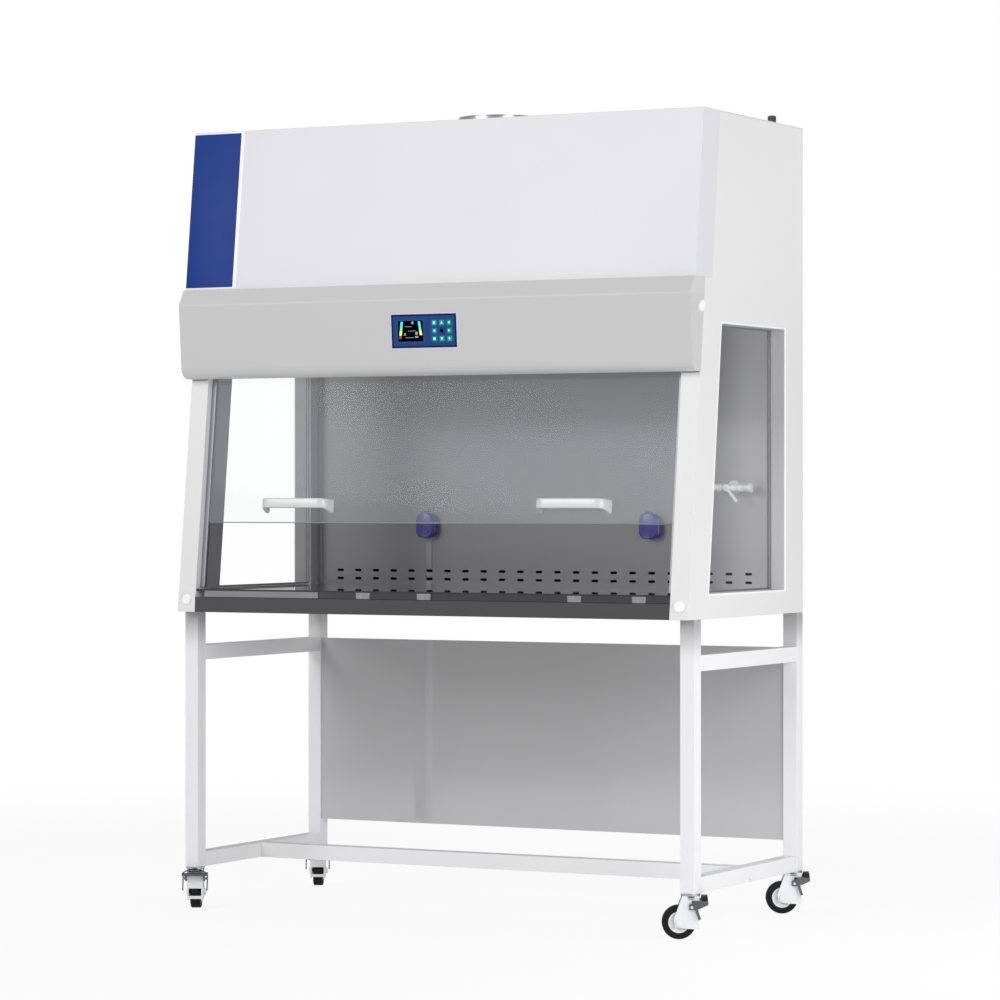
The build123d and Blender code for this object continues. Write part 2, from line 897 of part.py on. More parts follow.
def service_cock():
    """A wall-mounted cock: rosette, stem, cross barrel with its ferrule, and the lever's pin."""
    height = cock_height()
    rosette_front = baffle_depth + cock_rosette_thickness
    axis_depth = baffle_depth + cock_reach
    body = rod_forward(cock_rosette_radius, baffle_depth, rosette_front, cock_across, height)
    body += rod_forward(cock_stem_radius, rosette_front, axis_depth, cock_across, height)
    left = cock_across - cock_barrel_left
    right = cock_across + cock_barrel_right
    body += rod_x(cock_barrel_radius, left, right, axis_depth, height)
    body += rod_x(cock_ferrule_radius, right - cock_ferrule_length, right, axis_depth, height)
    pin_end = axis_depth + cock_barrel_radius + lever_thickness + lever_pin_proud
    return body + rod_forward(lever_pin_radius, axis_depth, pin_end, cock_across, height)


def cock_lever():
    """The lever, a flat arm on a hub that turns on the cock's pin."""
    height = cock_height()
    back = baffle_depth + cock_reach + cock_barrel_radius + key_clearance
    front = back + lever_thickness
    lever = rod_forward(lever_hub_radius, back, front, cock_across, height)
    arm = Pos(lever_length / 2, 0, 0) * Box(lever_length, lever_thickness, lever_width)
    place = Pos(cock_across, at_depth((back + front) / 2), height)
    lever += place * Rot(0, -lever_rest_angle, 0) * arm
    return lever - rod_forward(lever_pin_radius + running_gap, back - 1, front + 1, cock_across, height)


# ---------------------------------------------------------------- caps and gland
def dome_cap():
    """A round cap with its edge rounded over, base on z = 0."""
    cap = Pos(0, 0, cap_height / 2) * Cylinder(cap_radius, cap_height)
    return fillet(cap.edges().group_by(Axis.Z)[-1], cap_edge_radius)


def cap_knobs():
    """Caps on the posts' feet and on the control box's ends."""
    caps = []
    foot = leaning_frame(cabinet_bottom + cap_rise, 0)
    height = fascia_bottom + fascia_cap_rise
    depth = front_depth(height) + fascia_cap_reach
    for side in (-1, 1):
        caps.append(foot * Pos(side * (half_width - side_thickness / 2), 0, 0) * dome_cap())
        end = Pos(side * (half_width + sheet), at_depth(depth), height)
        caps.append(end * Rot(0, side * 90, 0) * dome_cap())
    return caps


def cable_gland():
    """The mains cable's gland near the roof's right rear."""
    place = Pos(gland_across, at_depth(gland_depth), cabinet_top)
    nut = extrude(RegularPolygon(gland_nut_radius, 6), amount=gland_nut_height)
    body = Pos(0, 0, gland_height / 2) * Cylinder(gland_body_radius, gland_height)
    cap_middle = gland_height - gland_cap_drop - gland_cap_height / 2
    cap = Pos(0, 0, cap_middle) * Cylinder(gland_radius, gland_cap_height)
    return place * (nut + body + cap - Cylinder(gland_bore, 3 * gland_height))


# ---------------------------------------------------------------- stand
def square_tube(x_range, depth_range, z_range, along):
    """A square tube with open ends, along 'x', 'depth' or 'z'."""
    bore = [
        (low - 1, high + 1) if name == along else (low + leg_wall, high - leg_wall)
        for name, (low, high) in zip(("x", "depth", "z"), (x_range, depth_range, z_range))
    ]
    return block(x_range, depth_range, z_range) - block(*bore)


def stand_legs():
    legs = []
    half = leg_size / 2
    for side in (-1, 1):
        across = side * leg_across
        for depth in (front_leg_depth, rear_leg_depth):
            legs.append(
                square_tube(
                    (across - half, across + half),
                    (depth - half, depth + half),
                    (caster_height, cabinet_bottom),
                    "z",
                )
            )
    return legs


def stand_side_rails():
    """An upper and a bottom rail between the legs on each side."""
    rails = []
    half = leg_size / 2
    upper = cabinet_bottom - side_rail_drop - leg_size
    for side in (-1, 1):
        across = side * leg_across
        for low in (upper, caster_height):
            rails.append(
                square_tube(
                    (across - half, across + half),
                    (rear_leg_depth + half, front_leg_depth - half),
                    (low, low + leg_size),
                    "depth",
                )
            )
    return rails


def stand_crossbar():
    half = leg_across - leg_size / 2
    return square_tube(
        (-half, half),
        (crossbar_depth - leg_size, crossbar_depth),
        (caster_height, caster_height + leg_size),
        "x",
    )


def stand_rear_panel():
    """The lower back panel between the rear legs."""
    half = leg_across - leg_size / 2
    low = caster_height + modesty_panel_bottom_gap
    return block(
        (-half, half),
        (modesty_panel_setback - sheet, modesty_panel_setback),
        (low, low + modesty_panel_height),
    )


# ---------------------------------------------------------------- casters
# Each caster is made about its swivel axis, wheel towards +x, and then turned and placed.
def caster_places():
    return {
        f"{side_name}_{end_name}": (side * leg_across, at_depth(depth))
        for side_name, side in (("left", -1), ("right", 1))
        for end_name, depth in (("front", front_leg_depth), ("rear", rear_leg_depth))
    }


def placed(shape, name):
    x, y = caster_places()[name]
    return Pos(x, y, 0) * Rot(0, 0, caster_turns[name]) * shape


def across_rod(radius, length, x, z):
    """A round bar along y, centred on the wheel's plane."""
    return Pos(x, 0, z) * Rot(90, 0, 0) * Cylinder(radius, length)


def caster_plate():
    """The top plate with its kingpin and nut."""
    low = caster_height - plate_thickness
    plate = Pos(0, 0, low + plate_thickness / 2) * Cylinder(plate_radius, plate_thickness)
    nut_top = low - head_thickness - 2 * swivel_clearance
    nut_low = nut_top - kingpin_nut_thickness
    pin = Pos(0, 0, (low + nut_low) / 2) * Cylinder(kingpin_radius, low - nut_low)
    nut = Pos(0, 0, (nut_top + nut_low) / 2) * Cylinder(kingpin_nut_radius, kingpin_nut_thickness)
    return plate + pin + nut


def fork_side_outline():
    """One fork arm's side outline: wide at the head, round the wheel's leading half."""
    top = caster_height - plate_thickness - swivel_clearance
    return [
        (-head_radius, top),
        (head_radius, top),
        *((caster_trail + x, wheel_radius + z) for x, z in fork_lower_outline),
        (-head_radius, wheel_radius - fork_tail_drop),
    ]


def caster_fork():
    """The swivel fork with its pedal pins, and the wheel's axle."""
    top = caster_height - plate_thickness - swivel_clearance
    head = Pos(0, 0, top - head_thickness / 2) * Cylinder(head_radius, head_thickness)
    outer = fork_inner_gap + fork_arm
    head += Pos(0, 0, top - head_thickness / 2) * Box(head_length, 2 * outer, head_thickness)
    arm_face = Plane.XZ * make_face(Polyline(*fork_side_outline(), close=True))
    fork = head
    for side in (-1, 1):
        arm = extrude(arm_face, amount=fork_arm, dir=(0, 1, 0))
        fork += Pos(0, fork_inner_gap if side > 0 else -outer, 0) * arm
        pin_middle = side * (outer + pedal_pin_length / 2)
        pin = Pos(-pedal_pin_back, pin_middle, wheel_radius + pedal_pin_rise) * Rot(90, 0, 0)
        fork += pin * Cylinder(pedal_pin_radius, pedal_pin_length)
    for thickness, height, middle in (
        (fork_bar_thickness, fork_bar_height, wheel_radius - fork_bar_drop),
        (fork_shroud_thickness, fork_shroud_height, wheel_radius + fork_shroud_rise),
    ):
        web = Box(thickness, 2 * fork_inner_gap, height)
        fork += Pos(thickness / 2 - head_radius, 0, middle) * web
    fork -= Pos(0, 0, top) * Cylinder(kingpin_radius + running_gap, 4 * head_thickness)
    fork -= across_rod(axle_radius + running_gap, 4 * outer, caster_trail, wheel_radius)
    axle = across_rod(axle_radius, 2 * outer, caster_trail, wheel_radius)
    for side in (-1, 1):
        bolt_middle = side * (outer + axle_head_thickness / 2)
        bolt = Pos(caster_trail, bolt_middle, wheel_radius) * Rot(90, 0, 0)
        axle += bolt * Cylinder(axle_head_radius, axle_head_thickness)
    return [fork, axle]


def caster_wheel():
    """The wheel: a hub that turns on the axle, and the tyre round it."""
    hub = across_rod(hub_radius, hub_width, caster_trail, wheel_radius)
    hub -= across_rod(axle_radius + running_gap, 2 * hub_width, caster_trail, wheel_radius)
    tyre = across_rod(wheel_radius, wheel_width, caster_trail, wheel_radius)
    tyre = fillet(tyre.edges(), tyre_edge_radius)
    tyre -= across_rod(hub_radius, 2 * wheel_width, caster_trail, wheel_radius)
    return [hub, tyre]


def caster_pedal():
    """The brake pedal: a ribbed tread held by two arms on the fork's pins."""
    inner = fork_inner_gap + fork_arm + pedal_arm_gap
    tread_low = wheel_radius + pedal_rise
    tread_top = tread_low + pedal_thickness
    tread_back = -head_radius - pedal_head_gap
    length = pedal_reach + tread_back
    middle = tread_back - length / 2
    pedal = Pos(middle, 0, tread_low + pedal_thickness / 2) * Box(
        length, 2 * pedal_half_width, pedal_thickness
    )
    for rib in range(pedal_ribs):
        x = tread_back - length * (rib + 0.5) / pedal_ribs
        pedal += Pos(x, 0, tread_top + pedal_rib / 2) * Box(pedal_rib, 2 * pedal_half_width, pedal_rib)
    arm_outline = [
        (pedal_arm_front, wheel_radius + pedal_arm_low),
        (pedal_arm_front, wheel_radius + pedal_arm_high),
        (tread_back, tread_top),
        (-pedal_reach, tread_top),
        (-pedal_reach, tread_low - pedal_toe_drop),
        (tread_back, tread_low - pedal_arm_drop),
        (-pedal_arm_back, wheel_radius + pedal_arm_low),
    ]
    arm_face = Plane.XZ * make_face(Polyline(*arm_outline, close=True))
    for side in (-1, 1):
        arm = extrude(arm_face, amount=pedal_arm, dir=(0, 1, 0))
        pedal += Pos(0, inner if side > 0 else -inner - pedal_arm, 0) * arm
    pin_hole = pedal_pin_radius + running_gap
    return pedal - across_rod(pin_hole, 4 * inner, -pedal_pin_back, wheel_radius + pedal_pin_rise)


# ---------------------------------------------------------------- nodes
def fixed_nodes():
    """The nodes that don't move, by name."""
    return {
        "side_panel_left": side_panel(-1),
        "side_panel_right": side_panel(1),
        "side_windows": side_windows(),
        "rear_panel": rear_panel(),
        "roof_panel": roof_panel(),
        "upper_front_cover": upper_front_cover(),
        "control_fascia": control_fascia(),
        "display_bezel": display_bezel(),
        "display_screen": display_screen(),
        "rear_baffle": rear_baffle(),
        "ceiling_panel": ceiling_panel(),
        "exhaust_filter_frame": exhaust_filter_frame(),
        "exhaust_filter_media": exhaust_filter_media(),
        "blower_housing": blower_housing(),
        "blower_motor": blower_motor(),
        "exhaust_collar": exhaust_collar(),
        "cable_gland": cable_gland(),
        "lamp_housing": lamp_housing(),
        "lamp_tubes": lamp_tubes(),
        "sash_guides": sash_guides(),
        "work_tray": work_tray(),
        "tray_feet": tray_feet(),
        "drain_pan": drain_pan(),
        "front_beam": front_beam(),
        "socket_bodies": [socket_body(side * socket_across) for side in (-1, 1)],
        "socket_conduit": socket_conduit(),
        "service_cock": service_cock(),
        "cap_knobs": cap_knobs(),
        "stand_legs": stand_legs(),
        "stand_side_rails": stand_side_rails(),
        "stand_crossbar": stand_crossbar(),
        "stand_rear_panel": stand_rear_panel(),
        "caster_plates": [placed(caster_plate(), name) for name in caster_places()],
    }


def moving_nodes():
    """The nodes that move, by name."""
    nodes = {
        "sash_glass": sash_glass(),
        "sash_handles": [handle(-1), handle(1)],
        "socket_lid_left": socket_lid(-socket_across),
        "socket_lid_right": socket_lid(socket_across),
        "cock_lever": cock_lever(),
        "blower_impeller": blower_impeller(),
    }
    for name, (across, up) in key_places().items():
        nodes[name] = key(across, up)
    for name in caster_places():
        nodes[f"caster_fork_{name}"] = [placed(piece, name) for piece in caster_fork()]
        nodes[f"caster_wheel_{name}"] = [placed(piece, name) for piece in caster_wheel()]
        nodes[f"caster_pedal_{name}"] = placed(caster_pedal(), name)
    return nodes


def write_node(name, shape):
    """Write one node as a STEP file of its separate solids."""
    pieces = shape if isinstance(shape, list) else [shape]
    solids = [solid for piece in pieces for solid in piece.solids()]
    export_step(Compound(solids), f"parts/{name}.step")


os.makedirs("parts", exist_ok=True)
for node, shape in {**fixed_nodes(), **moving_nodes()}.items():
    write_node(node, shape)
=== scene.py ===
"""Looks of the biosafety cabinet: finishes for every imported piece, the detailed pieces, light and camera.

All lengths are metres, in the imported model's frame: the floor is z = 0 and the front faces -Y.
"""

from __future__ import annotations

import logging
import math
from dataclasses import dataclass
from enum import Enum
from typing import Any, Callable, Sequence

import bmesh
import bpy
import numpy as np
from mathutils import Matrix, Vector

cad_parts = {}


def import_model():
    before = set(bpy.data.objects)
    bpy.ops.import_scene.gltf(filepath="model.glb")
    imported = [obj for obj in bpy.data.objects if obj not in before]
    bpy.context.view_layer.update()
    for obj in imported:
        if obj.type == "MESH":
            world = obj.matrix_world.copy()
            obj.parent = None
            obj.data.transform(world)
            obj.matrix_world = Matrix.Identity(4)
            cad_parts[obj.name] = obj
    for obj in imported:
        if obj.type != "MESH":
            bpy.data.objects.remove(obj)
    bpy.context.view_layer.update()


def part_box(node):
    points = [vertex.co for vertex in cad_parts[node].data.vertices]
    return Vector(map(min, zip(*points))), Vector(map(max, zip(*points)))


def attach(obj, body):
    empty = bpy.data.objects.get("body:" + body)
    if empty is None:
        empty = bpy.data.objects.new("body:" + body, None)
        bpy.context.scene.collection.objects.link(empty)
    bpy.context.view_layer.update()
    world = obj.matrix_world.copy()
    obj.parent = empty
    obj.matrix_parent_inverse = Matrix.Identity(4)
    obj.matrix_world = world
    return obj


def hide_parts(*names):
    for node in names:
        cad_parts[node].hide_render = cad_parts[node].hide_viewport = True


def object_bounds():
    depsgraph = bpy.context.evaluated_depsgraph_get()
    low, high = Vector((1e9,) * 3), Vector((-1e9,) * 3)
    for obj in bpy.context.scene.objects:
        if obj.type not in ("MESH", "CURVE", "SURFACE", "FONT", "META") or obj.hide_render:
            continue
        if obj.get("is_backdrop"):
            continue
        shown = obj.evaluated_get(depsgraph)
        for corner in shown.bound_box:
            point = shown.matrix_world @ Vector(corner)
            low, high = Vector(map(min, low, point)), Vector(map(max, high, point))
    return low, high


LOG = logging.getLogger("cabinet")
Colour = tuple[float, float, float]
Part = tuple[np.ndarray, list]
MM = 0.001
BLACK = (0.0, 0.0, 0.0)
WHITE = (1.0, 1.0, 1.0)
SIDES = (-1, 1)
CRISP_ANGLE, FLAT_ANGLE, SHARP_ANGLE = (math.radians(turn) for turn in (32.0, 0.4, 35.0))
SPECKLED = (300.0, 300.0, 300.0)


# ------------------------------------------------------------------ shader expressions
class Graph:
    """A material's or world's node tree, with one method that makes any node."""

    def __init__(self, tree: bpy.types.NodeTree) -> None:
        """Start from an emptied tree.

        Args:
            tree: The node tree to fill.
        """
        self.tree = tree
        tree.nodes.clear()

    def node(self, kind: str, settings: dict[str, Any] | None = None, **inputs: Any) -> bpy.types.Node:
        """Make a node, set it up and feed its sockets.

        Args:
            kind: The node's type name.
            settings: Properties to set first, such as a Math node's operation.
            inputs: A value or a link for each socket; an underscore stands for a space, and in0, in1 ...
                name sockets by their place.

        Returns:
            The node.
        """
        made = self.tree.nodes.new(kind)
        for name, value in (settings or {}).items():
            setattr(made, name, value)
        for name, value in inputs.items():
            place = int(name[2:]) if name[:2] == "in" and name[2:].isdigit() else name.replace("_", " ")
            self.feed(made.inputs[place], value)
        return made

    def feed(self, socket: bpy.types.NodeSocket, value: Any) -> None:
        """Link a socket to another, or set its value."""
        if isinstance(value, Wire):
            self.tree.links.new(value.socket, socket)
        elif isinstance(value, bpy.types.NodeSocket):
            self.tree.links.new(value, socket)
        elif hasattr(socket.default_value, "__len__") and not hasattr(value, "__len__"):
            socket.default_value = (value,) * len(socket.default_value)
        elif hasattr(value, "__len__") and len(socket.default_value) == 4 and len(value) == 3:
            socket.default_value = (*value, 1.0)
        else:
            socket.default_value = value

    def wire(
        self, kind: str, output: int | str, settings: dict[str, Any] | None = None, **inputs: Any
    ) -> "Wire":
        """Make a node and return one of its outputs as a wire."""
        return Wire(self, self.node(kind, settings, **inputs).outputs[output])

    def position(self) -> "Wire":
        """The surface point in the piece's own coordinates."""
        return self.wire("ShaderNodeTexCoord", "Object")

    def noise(self, scale: float, detail: float = 2.0, at: "Wire | None" = None) -> "Wire":
        """Smooth noise from 0 to 1.

        Args:
            scale: Features per metre.
            detail: Octaves.
            at: Where it is read; the piece's own coordinates if left out.
        """
        vector = at or self.position()
        return self.wire("ShaderNodeTexNoise", "Fac", Vector=vector, Scale=scale, Detail=detail)

    def mix(self, factor: Any, first: Any, second: Any) -> "Wire":
        """Blend two colours."""
        return self.wire("ShaderNodeMix", 2, {"data_type": "RGBA"}, in0=factor, in6=first, in7=second)

    def bump(self, height: "Wire", distance: float, strength: float = 1.0) -> "Wire":
        """A normal from a height."""
        return self.wire("ShaderNodeBump", "Normal", Height=height, Distance=distance, Strength=strength)

    def spread(self, wire: "Wire", scale: Sequence[float]) -> "Wire":
        """Stretch coordinates, one factor for each axis."""
        return self.wire("ShaderNodeMapping", "Vector", Vector=wire, Scale=tuple(scale))

    def along(self, axis: int) -> "Wire":
        """The surface point's x, y or z, by the axis's number."""
        return self.wire("ShaderNodeSeparateXYZ", axis, Vector=self.position())


def operator(operation: str, reflected: bool = False) -> Callable[["Wire", Any], "Wire"]:
    """An operator of a wire: one Math node on both sides.

    Args:
        operation: The Math node's operation.
        reflected: Whether the wire stands on the right.

    Returns:
        The method.
    """

    def apply(self: "Wire", other: Any) -> "Wire":
        """The node's result."""
        return self.math(operation, *((other, self) if reflected else (self, other)))

    return apply


class Wire:
    """A shader socket that takes part in Python sums; each operator adds one Math node."""

    def __init__(self, graph: Graph, socket: bpy.types.NodeSocket) -> None:
        """Hold a socket of a graph."""
        self.graph = graph
        self.socket = socket

    def math(self, operation: str, *values: Any) -> "Wire":
        """Add a Math node on these values."""
        inputs = {f"in{place}": value for place, value in enumerate(values)}
        return self.graph.wire("ShaderNodeMath", 0, {"operation": operation}, **inputs)

    __add__, __radd__ = operator("ADD"), operator("ADD", reflected=True)
    __sub__, __rsub__ = operator("SUBTRACT"), operator("SUBTRACT", reflected=True)
    __mul__, __rmul__ = operator("MULTIPLY"), operator("MULTIPLY", reflected=True)

    def clamp(self) -> "Wire":
        """self held between 0 and 1."""
        return self.graph.wire("ShaderNodeClamp", 0, Value=self)

    def ramp(self, low: float, high: float) -> "Wire":
        """A smooth step from 0 at low to 1 at high."""
        smooth = {"interpolation_type": "SMOOTHSTEP"}
        return self.graph.wire("ShaderNodeMapRange", 0, smooth, in0=self, in1=low, in2=high)

    def most(self, other: Any) -> "Wire":
        """The larger of self and other."""
        return self.math("MAXIMUM", self, other)


def srgb(red: int, green: int, blue: int) -> Colour:
    """A colour written as 0 to 255 screen values, as linear light."""
    channels = np.array([red, green, blue]) / 255.0
    linear = np.where(channels <= 0.04045, channels / 12.92, ((channels + 0.055) / 1.055) ** 2.4)
    return tuple(float(value) for value in linear)


# ------------------------------------------------------------------ finishes
@dataclass(frozen=True)
class Drift:
    """A slow change of tone along one axis: painted shade, as where a part runs into the shade of another.

    Attributes:
        axis: 0, 1 or 2 for x, y or z.
        start: Where the change starts, metres.
        end: Where it ends.
        low: The factor before the start.
        high: The factor after the end.
    """

    axis: int
    start: float
    end: float
    low: float
    high: float

    def factor(self, graph: Graph) -> Wire:
        """The factor at the surface point."""
        return self.low + graph.along(self.axis).ramp(self.start, self.end) * (self.high - self.low)


@dataclass(frozen=True)
class Finish:
    """A surface finish. Subclasses shade it in their own way.

    Attributes:
        name: The material's name.
        colour: Its main colour, linear.
        roughness: 0 is a mirror, 1 is chalk.
        painted_light: Strength of the painted light it gives off though it is no lamp, which stands for
            light thrown about in a closed space.
        shine: Strength of its bare reflection, 0.5 for common plastics and paints.
        painted_shade_drift: Painted shade: how its colour changes along the part.
        painted_light_drift: How the painted light it gives off changes along the part.
    """

    name: str
    colour: Colour
    roughness: float = 0.4
    painted_light: float = 0.0
    shine: float = 0.5
    painted_shade_drift: Drift | None = None
    painted_light_drift: Drift | None = None

    def shade(self, graph: Graph) -> dict[str, Any]:
        """The shader's sockets for this finish."""
        return {"Base_Color": self.colour, "Roughness": self.roughness}

    def material(self) -> bpy.types.Material:
        """The finish as a material, made once."""
        title = "finish_" + self.name
        known = bpy.data.materials.get(title)
        if known:
            return known
        made = bpy.data.materials.new(title)
        made.use_nodes = True
        graph = Graph(made.node_tree)
        sockets = {"Specular_IOR_Level": self.shine} | self.shade(graph)
        # Painted light: a glow in the finish's own colour, though the part is no lamp.
        if self.painted_light:
            glow = sockets["Base_Color"]
            if self.painted_light_drift:
                glow = graph.mix(self.painted_light_drift.factor(graph), BLACK, glow)
            sockets |= {"Emission_Color": glow, "Emission_Strength": self.painted_light}
        # Painted shade: the colour darkened along the part by the drift.
        if self.painted_shade_drift:
            shade = self.painted_shade_drift.factor(graph)
            sockets["Base_Color"] = graph.mix(shade, BLACK, sockets["Base_Color"])
        surface = graph.node("ShaderNodeBsdfPrincipled", None, **sockets)
        graph.node("ShaderNodeOutputMaterial", None, Surface=surface.outputs[0])
        made.diffuse_color = (*self.colour, 1.0)
        return made


@dataclass(frozen=True)
class PowderCoat(Finish):
    """Baked powder coat: fine orange peel, faint mottling and a thin gloss.

    Attributes:
        peel: Depth of the orange peel, metres.
        mottle: How much the colour varies.
        gloss: Weight of the clear gloss over it.
        gloss_index: Refractive index of the gloss; a high one mirrors more.
        gloss_roughness: Roughness of the gloss.
    """

    peel: float = 0.00006
    mottle: float = 0.02
    gloss: float = 0.12
    gloss_index: float = 1.5
    gloss_roughness: float = 0.22

    def shade(self, graph: Graph) -> dict[str, Any]:
        """Orange peel in the normal, slow mottling in colour and roughness."""
        slow = graph.noise(3.0, 3.0)
        fine = graph.noise(420.0, 2.0)
        darker = tuple(value * (1.0 - 2.0 * self.mottle) for value in self.colour)
        peel = graph.noise(600.0, 2.0) * 0.7 + graph.noise(1500.0, 1.0) * 0.3
        return {
            "Base_Color": graph.mix(slow * 0.7 + fine * 0.3, self.colour, darker),
            "Roughness": self.roughness + (slow - 0.5) * 0.10 + (fine - 0.5) * 0.08,
            "Normal": graph.bump(peel, self.peel),
            "Coat_Weight": self.gloss,
            "Coat_IOR": self.gloss_index,
            "Coat_Roughness": self.gloss_roughness,
        }


@dataclass(frozen=True)
class BrushedSteel(Finish):
    """Stainless or zinc sheet with brush lines along one axis.

    Attributes:
        grain: Stretch of the brush noise along x, y and z; a small factor runs along the lines.
        depth: Depth of the brush lines, metres.
        metallic: How metallic it is.
        contrast: How much the lines change the colour.
        swing: How much the lines change the roughness.
    """

    grain: tuple[float, float, float] = (6.0, 900.0, 900.0)
    depth: float = 0.00002
    metallic: float = 1.0
    contrast: float = 0.18
    swing: float = 0.12

    def shade(self, graph: Graph) -> dict[str, Any]:
        """Long thin noise streaks in colour, roughness and normal."""
        lines = graph.noise(1.0, 4.0, graph.spread(graph.position(), self.grain))
        cloud = graph.noise(5.0, 3.0)
        darker = tuple(value * (1.0 - self.contrast) for value in self.colour)
        tint = graph.mix(lines * 0.6 + cloud * 0.4, self.colour, darker)
        return {
            "Base_Color": tint,
            "Metallic": self.metallic,
            "Roughness": self.roughness + (lines * 2.0 + cloud - 1.5) * (self.swing / 2.0),
            "Normal": graph.bump(lines, self.depth),
        }


@dataclass(frozen=True)
class Moulded(Finish):
    """Moulded plastic or rubber with a fine grain.

    Attributes:
        grain: Depth of the mould's grain, metres.
        scale: Grains per metre.
        gloss: Weight of a clear gloss.
    """

    grain: float = 0.00004
    scale: float = 900.0
    gloss: float = 0.0

    def shade(self, graph: Graph) -> dict[str, Any]:
        """Fine grain in the normal and a little colour drift."""
        fine = graph.noise(self.scale, 2.0)
        slow = graph.noise(24.0, 2.0)
        darker = tuple(value * 0.90 for value in self.colour)
        return {
            "Base_Color": graph.mix(slow * 0.5 + fine * 0.5, self.colour, darker),
            "Roughness": self.roughness + (fine - 0.5) * 0.10 + (slow - 0.5) * 0.08,
            "Normal": graph.bump(fine, self.grain),
            "Coat_Weight": self.gloss,
            "Coat_Roughness": 0.15,
        }


@dataclass(frozen=True)
class Glass(Finish):
    """Clear sheet glass: see-through, under a thin even veil that thickens at a glancing angle, and that
    gives off painted light.

    Attributes:
        veil: Opacity seen square on.
        edge: Opacity at a glancing angle.
        painted_glow: Brightness of the light it gives off where it is not see-through: painted light that
            stands for light scattered in its veil.
        gloss: Coat weight on top, for crisp reflections.
    """

    veil: float = 0.14
    edge: float = 0.55
    painted_glow: float = 0.85
    gloss: float = 0.6

    def shade(self, graph: Graph) -> dict[str, Any]:
        """Opacity that rises towards the glancing edge, with faint smears in it."""
        facing = graph.wire("ShaderNodeLayerWeight", "Facing", Blend=0.18)
        smear = graph.noise(2.2, 3.0) * 0.5 + graph.noise(11.0, 2.0) * 0.5
        return {
            "Base_Color": BLACK,
            "Roughness": self.roughness + (smear - 0.5) * 0.03,
            "Alpha": (self.veil + (self.edge - self.veil) * facing + (smear - 0.5) * 0.012).clamp(),
            # Painted light: the glass gives off its own colour as light, standing in for light scattered in
            # its veil.
            "Emission_Color": self.colour,
            "Emission_Strength": self.painted_glow,
            "Coat_Weight": self.gloss,
            "Coat_Roughness": 0.02,
        }


@dataclass(frozen=True)
class Glow(Finish):
    """A lit display element.

    Attributes:
        strength: Brightness of its own light.
    """

    strength: float = 1.0

    def shade(self, graph: Graph) -> dict[str, Any]:
        """Own light with a slight fall-off in a fine pixel pattern."""
        dots = graph.noise(1600.0, 0.0)
        dim = tuple(value * 0.8 for value in self.colour)
        return {
            "Base_Color": self.colour,
            "Roughness": self.roughness,
            "Emission_Color": graph.mix(dots, self.colour, dim),
            "Emission_Strength": self.strength,
        }


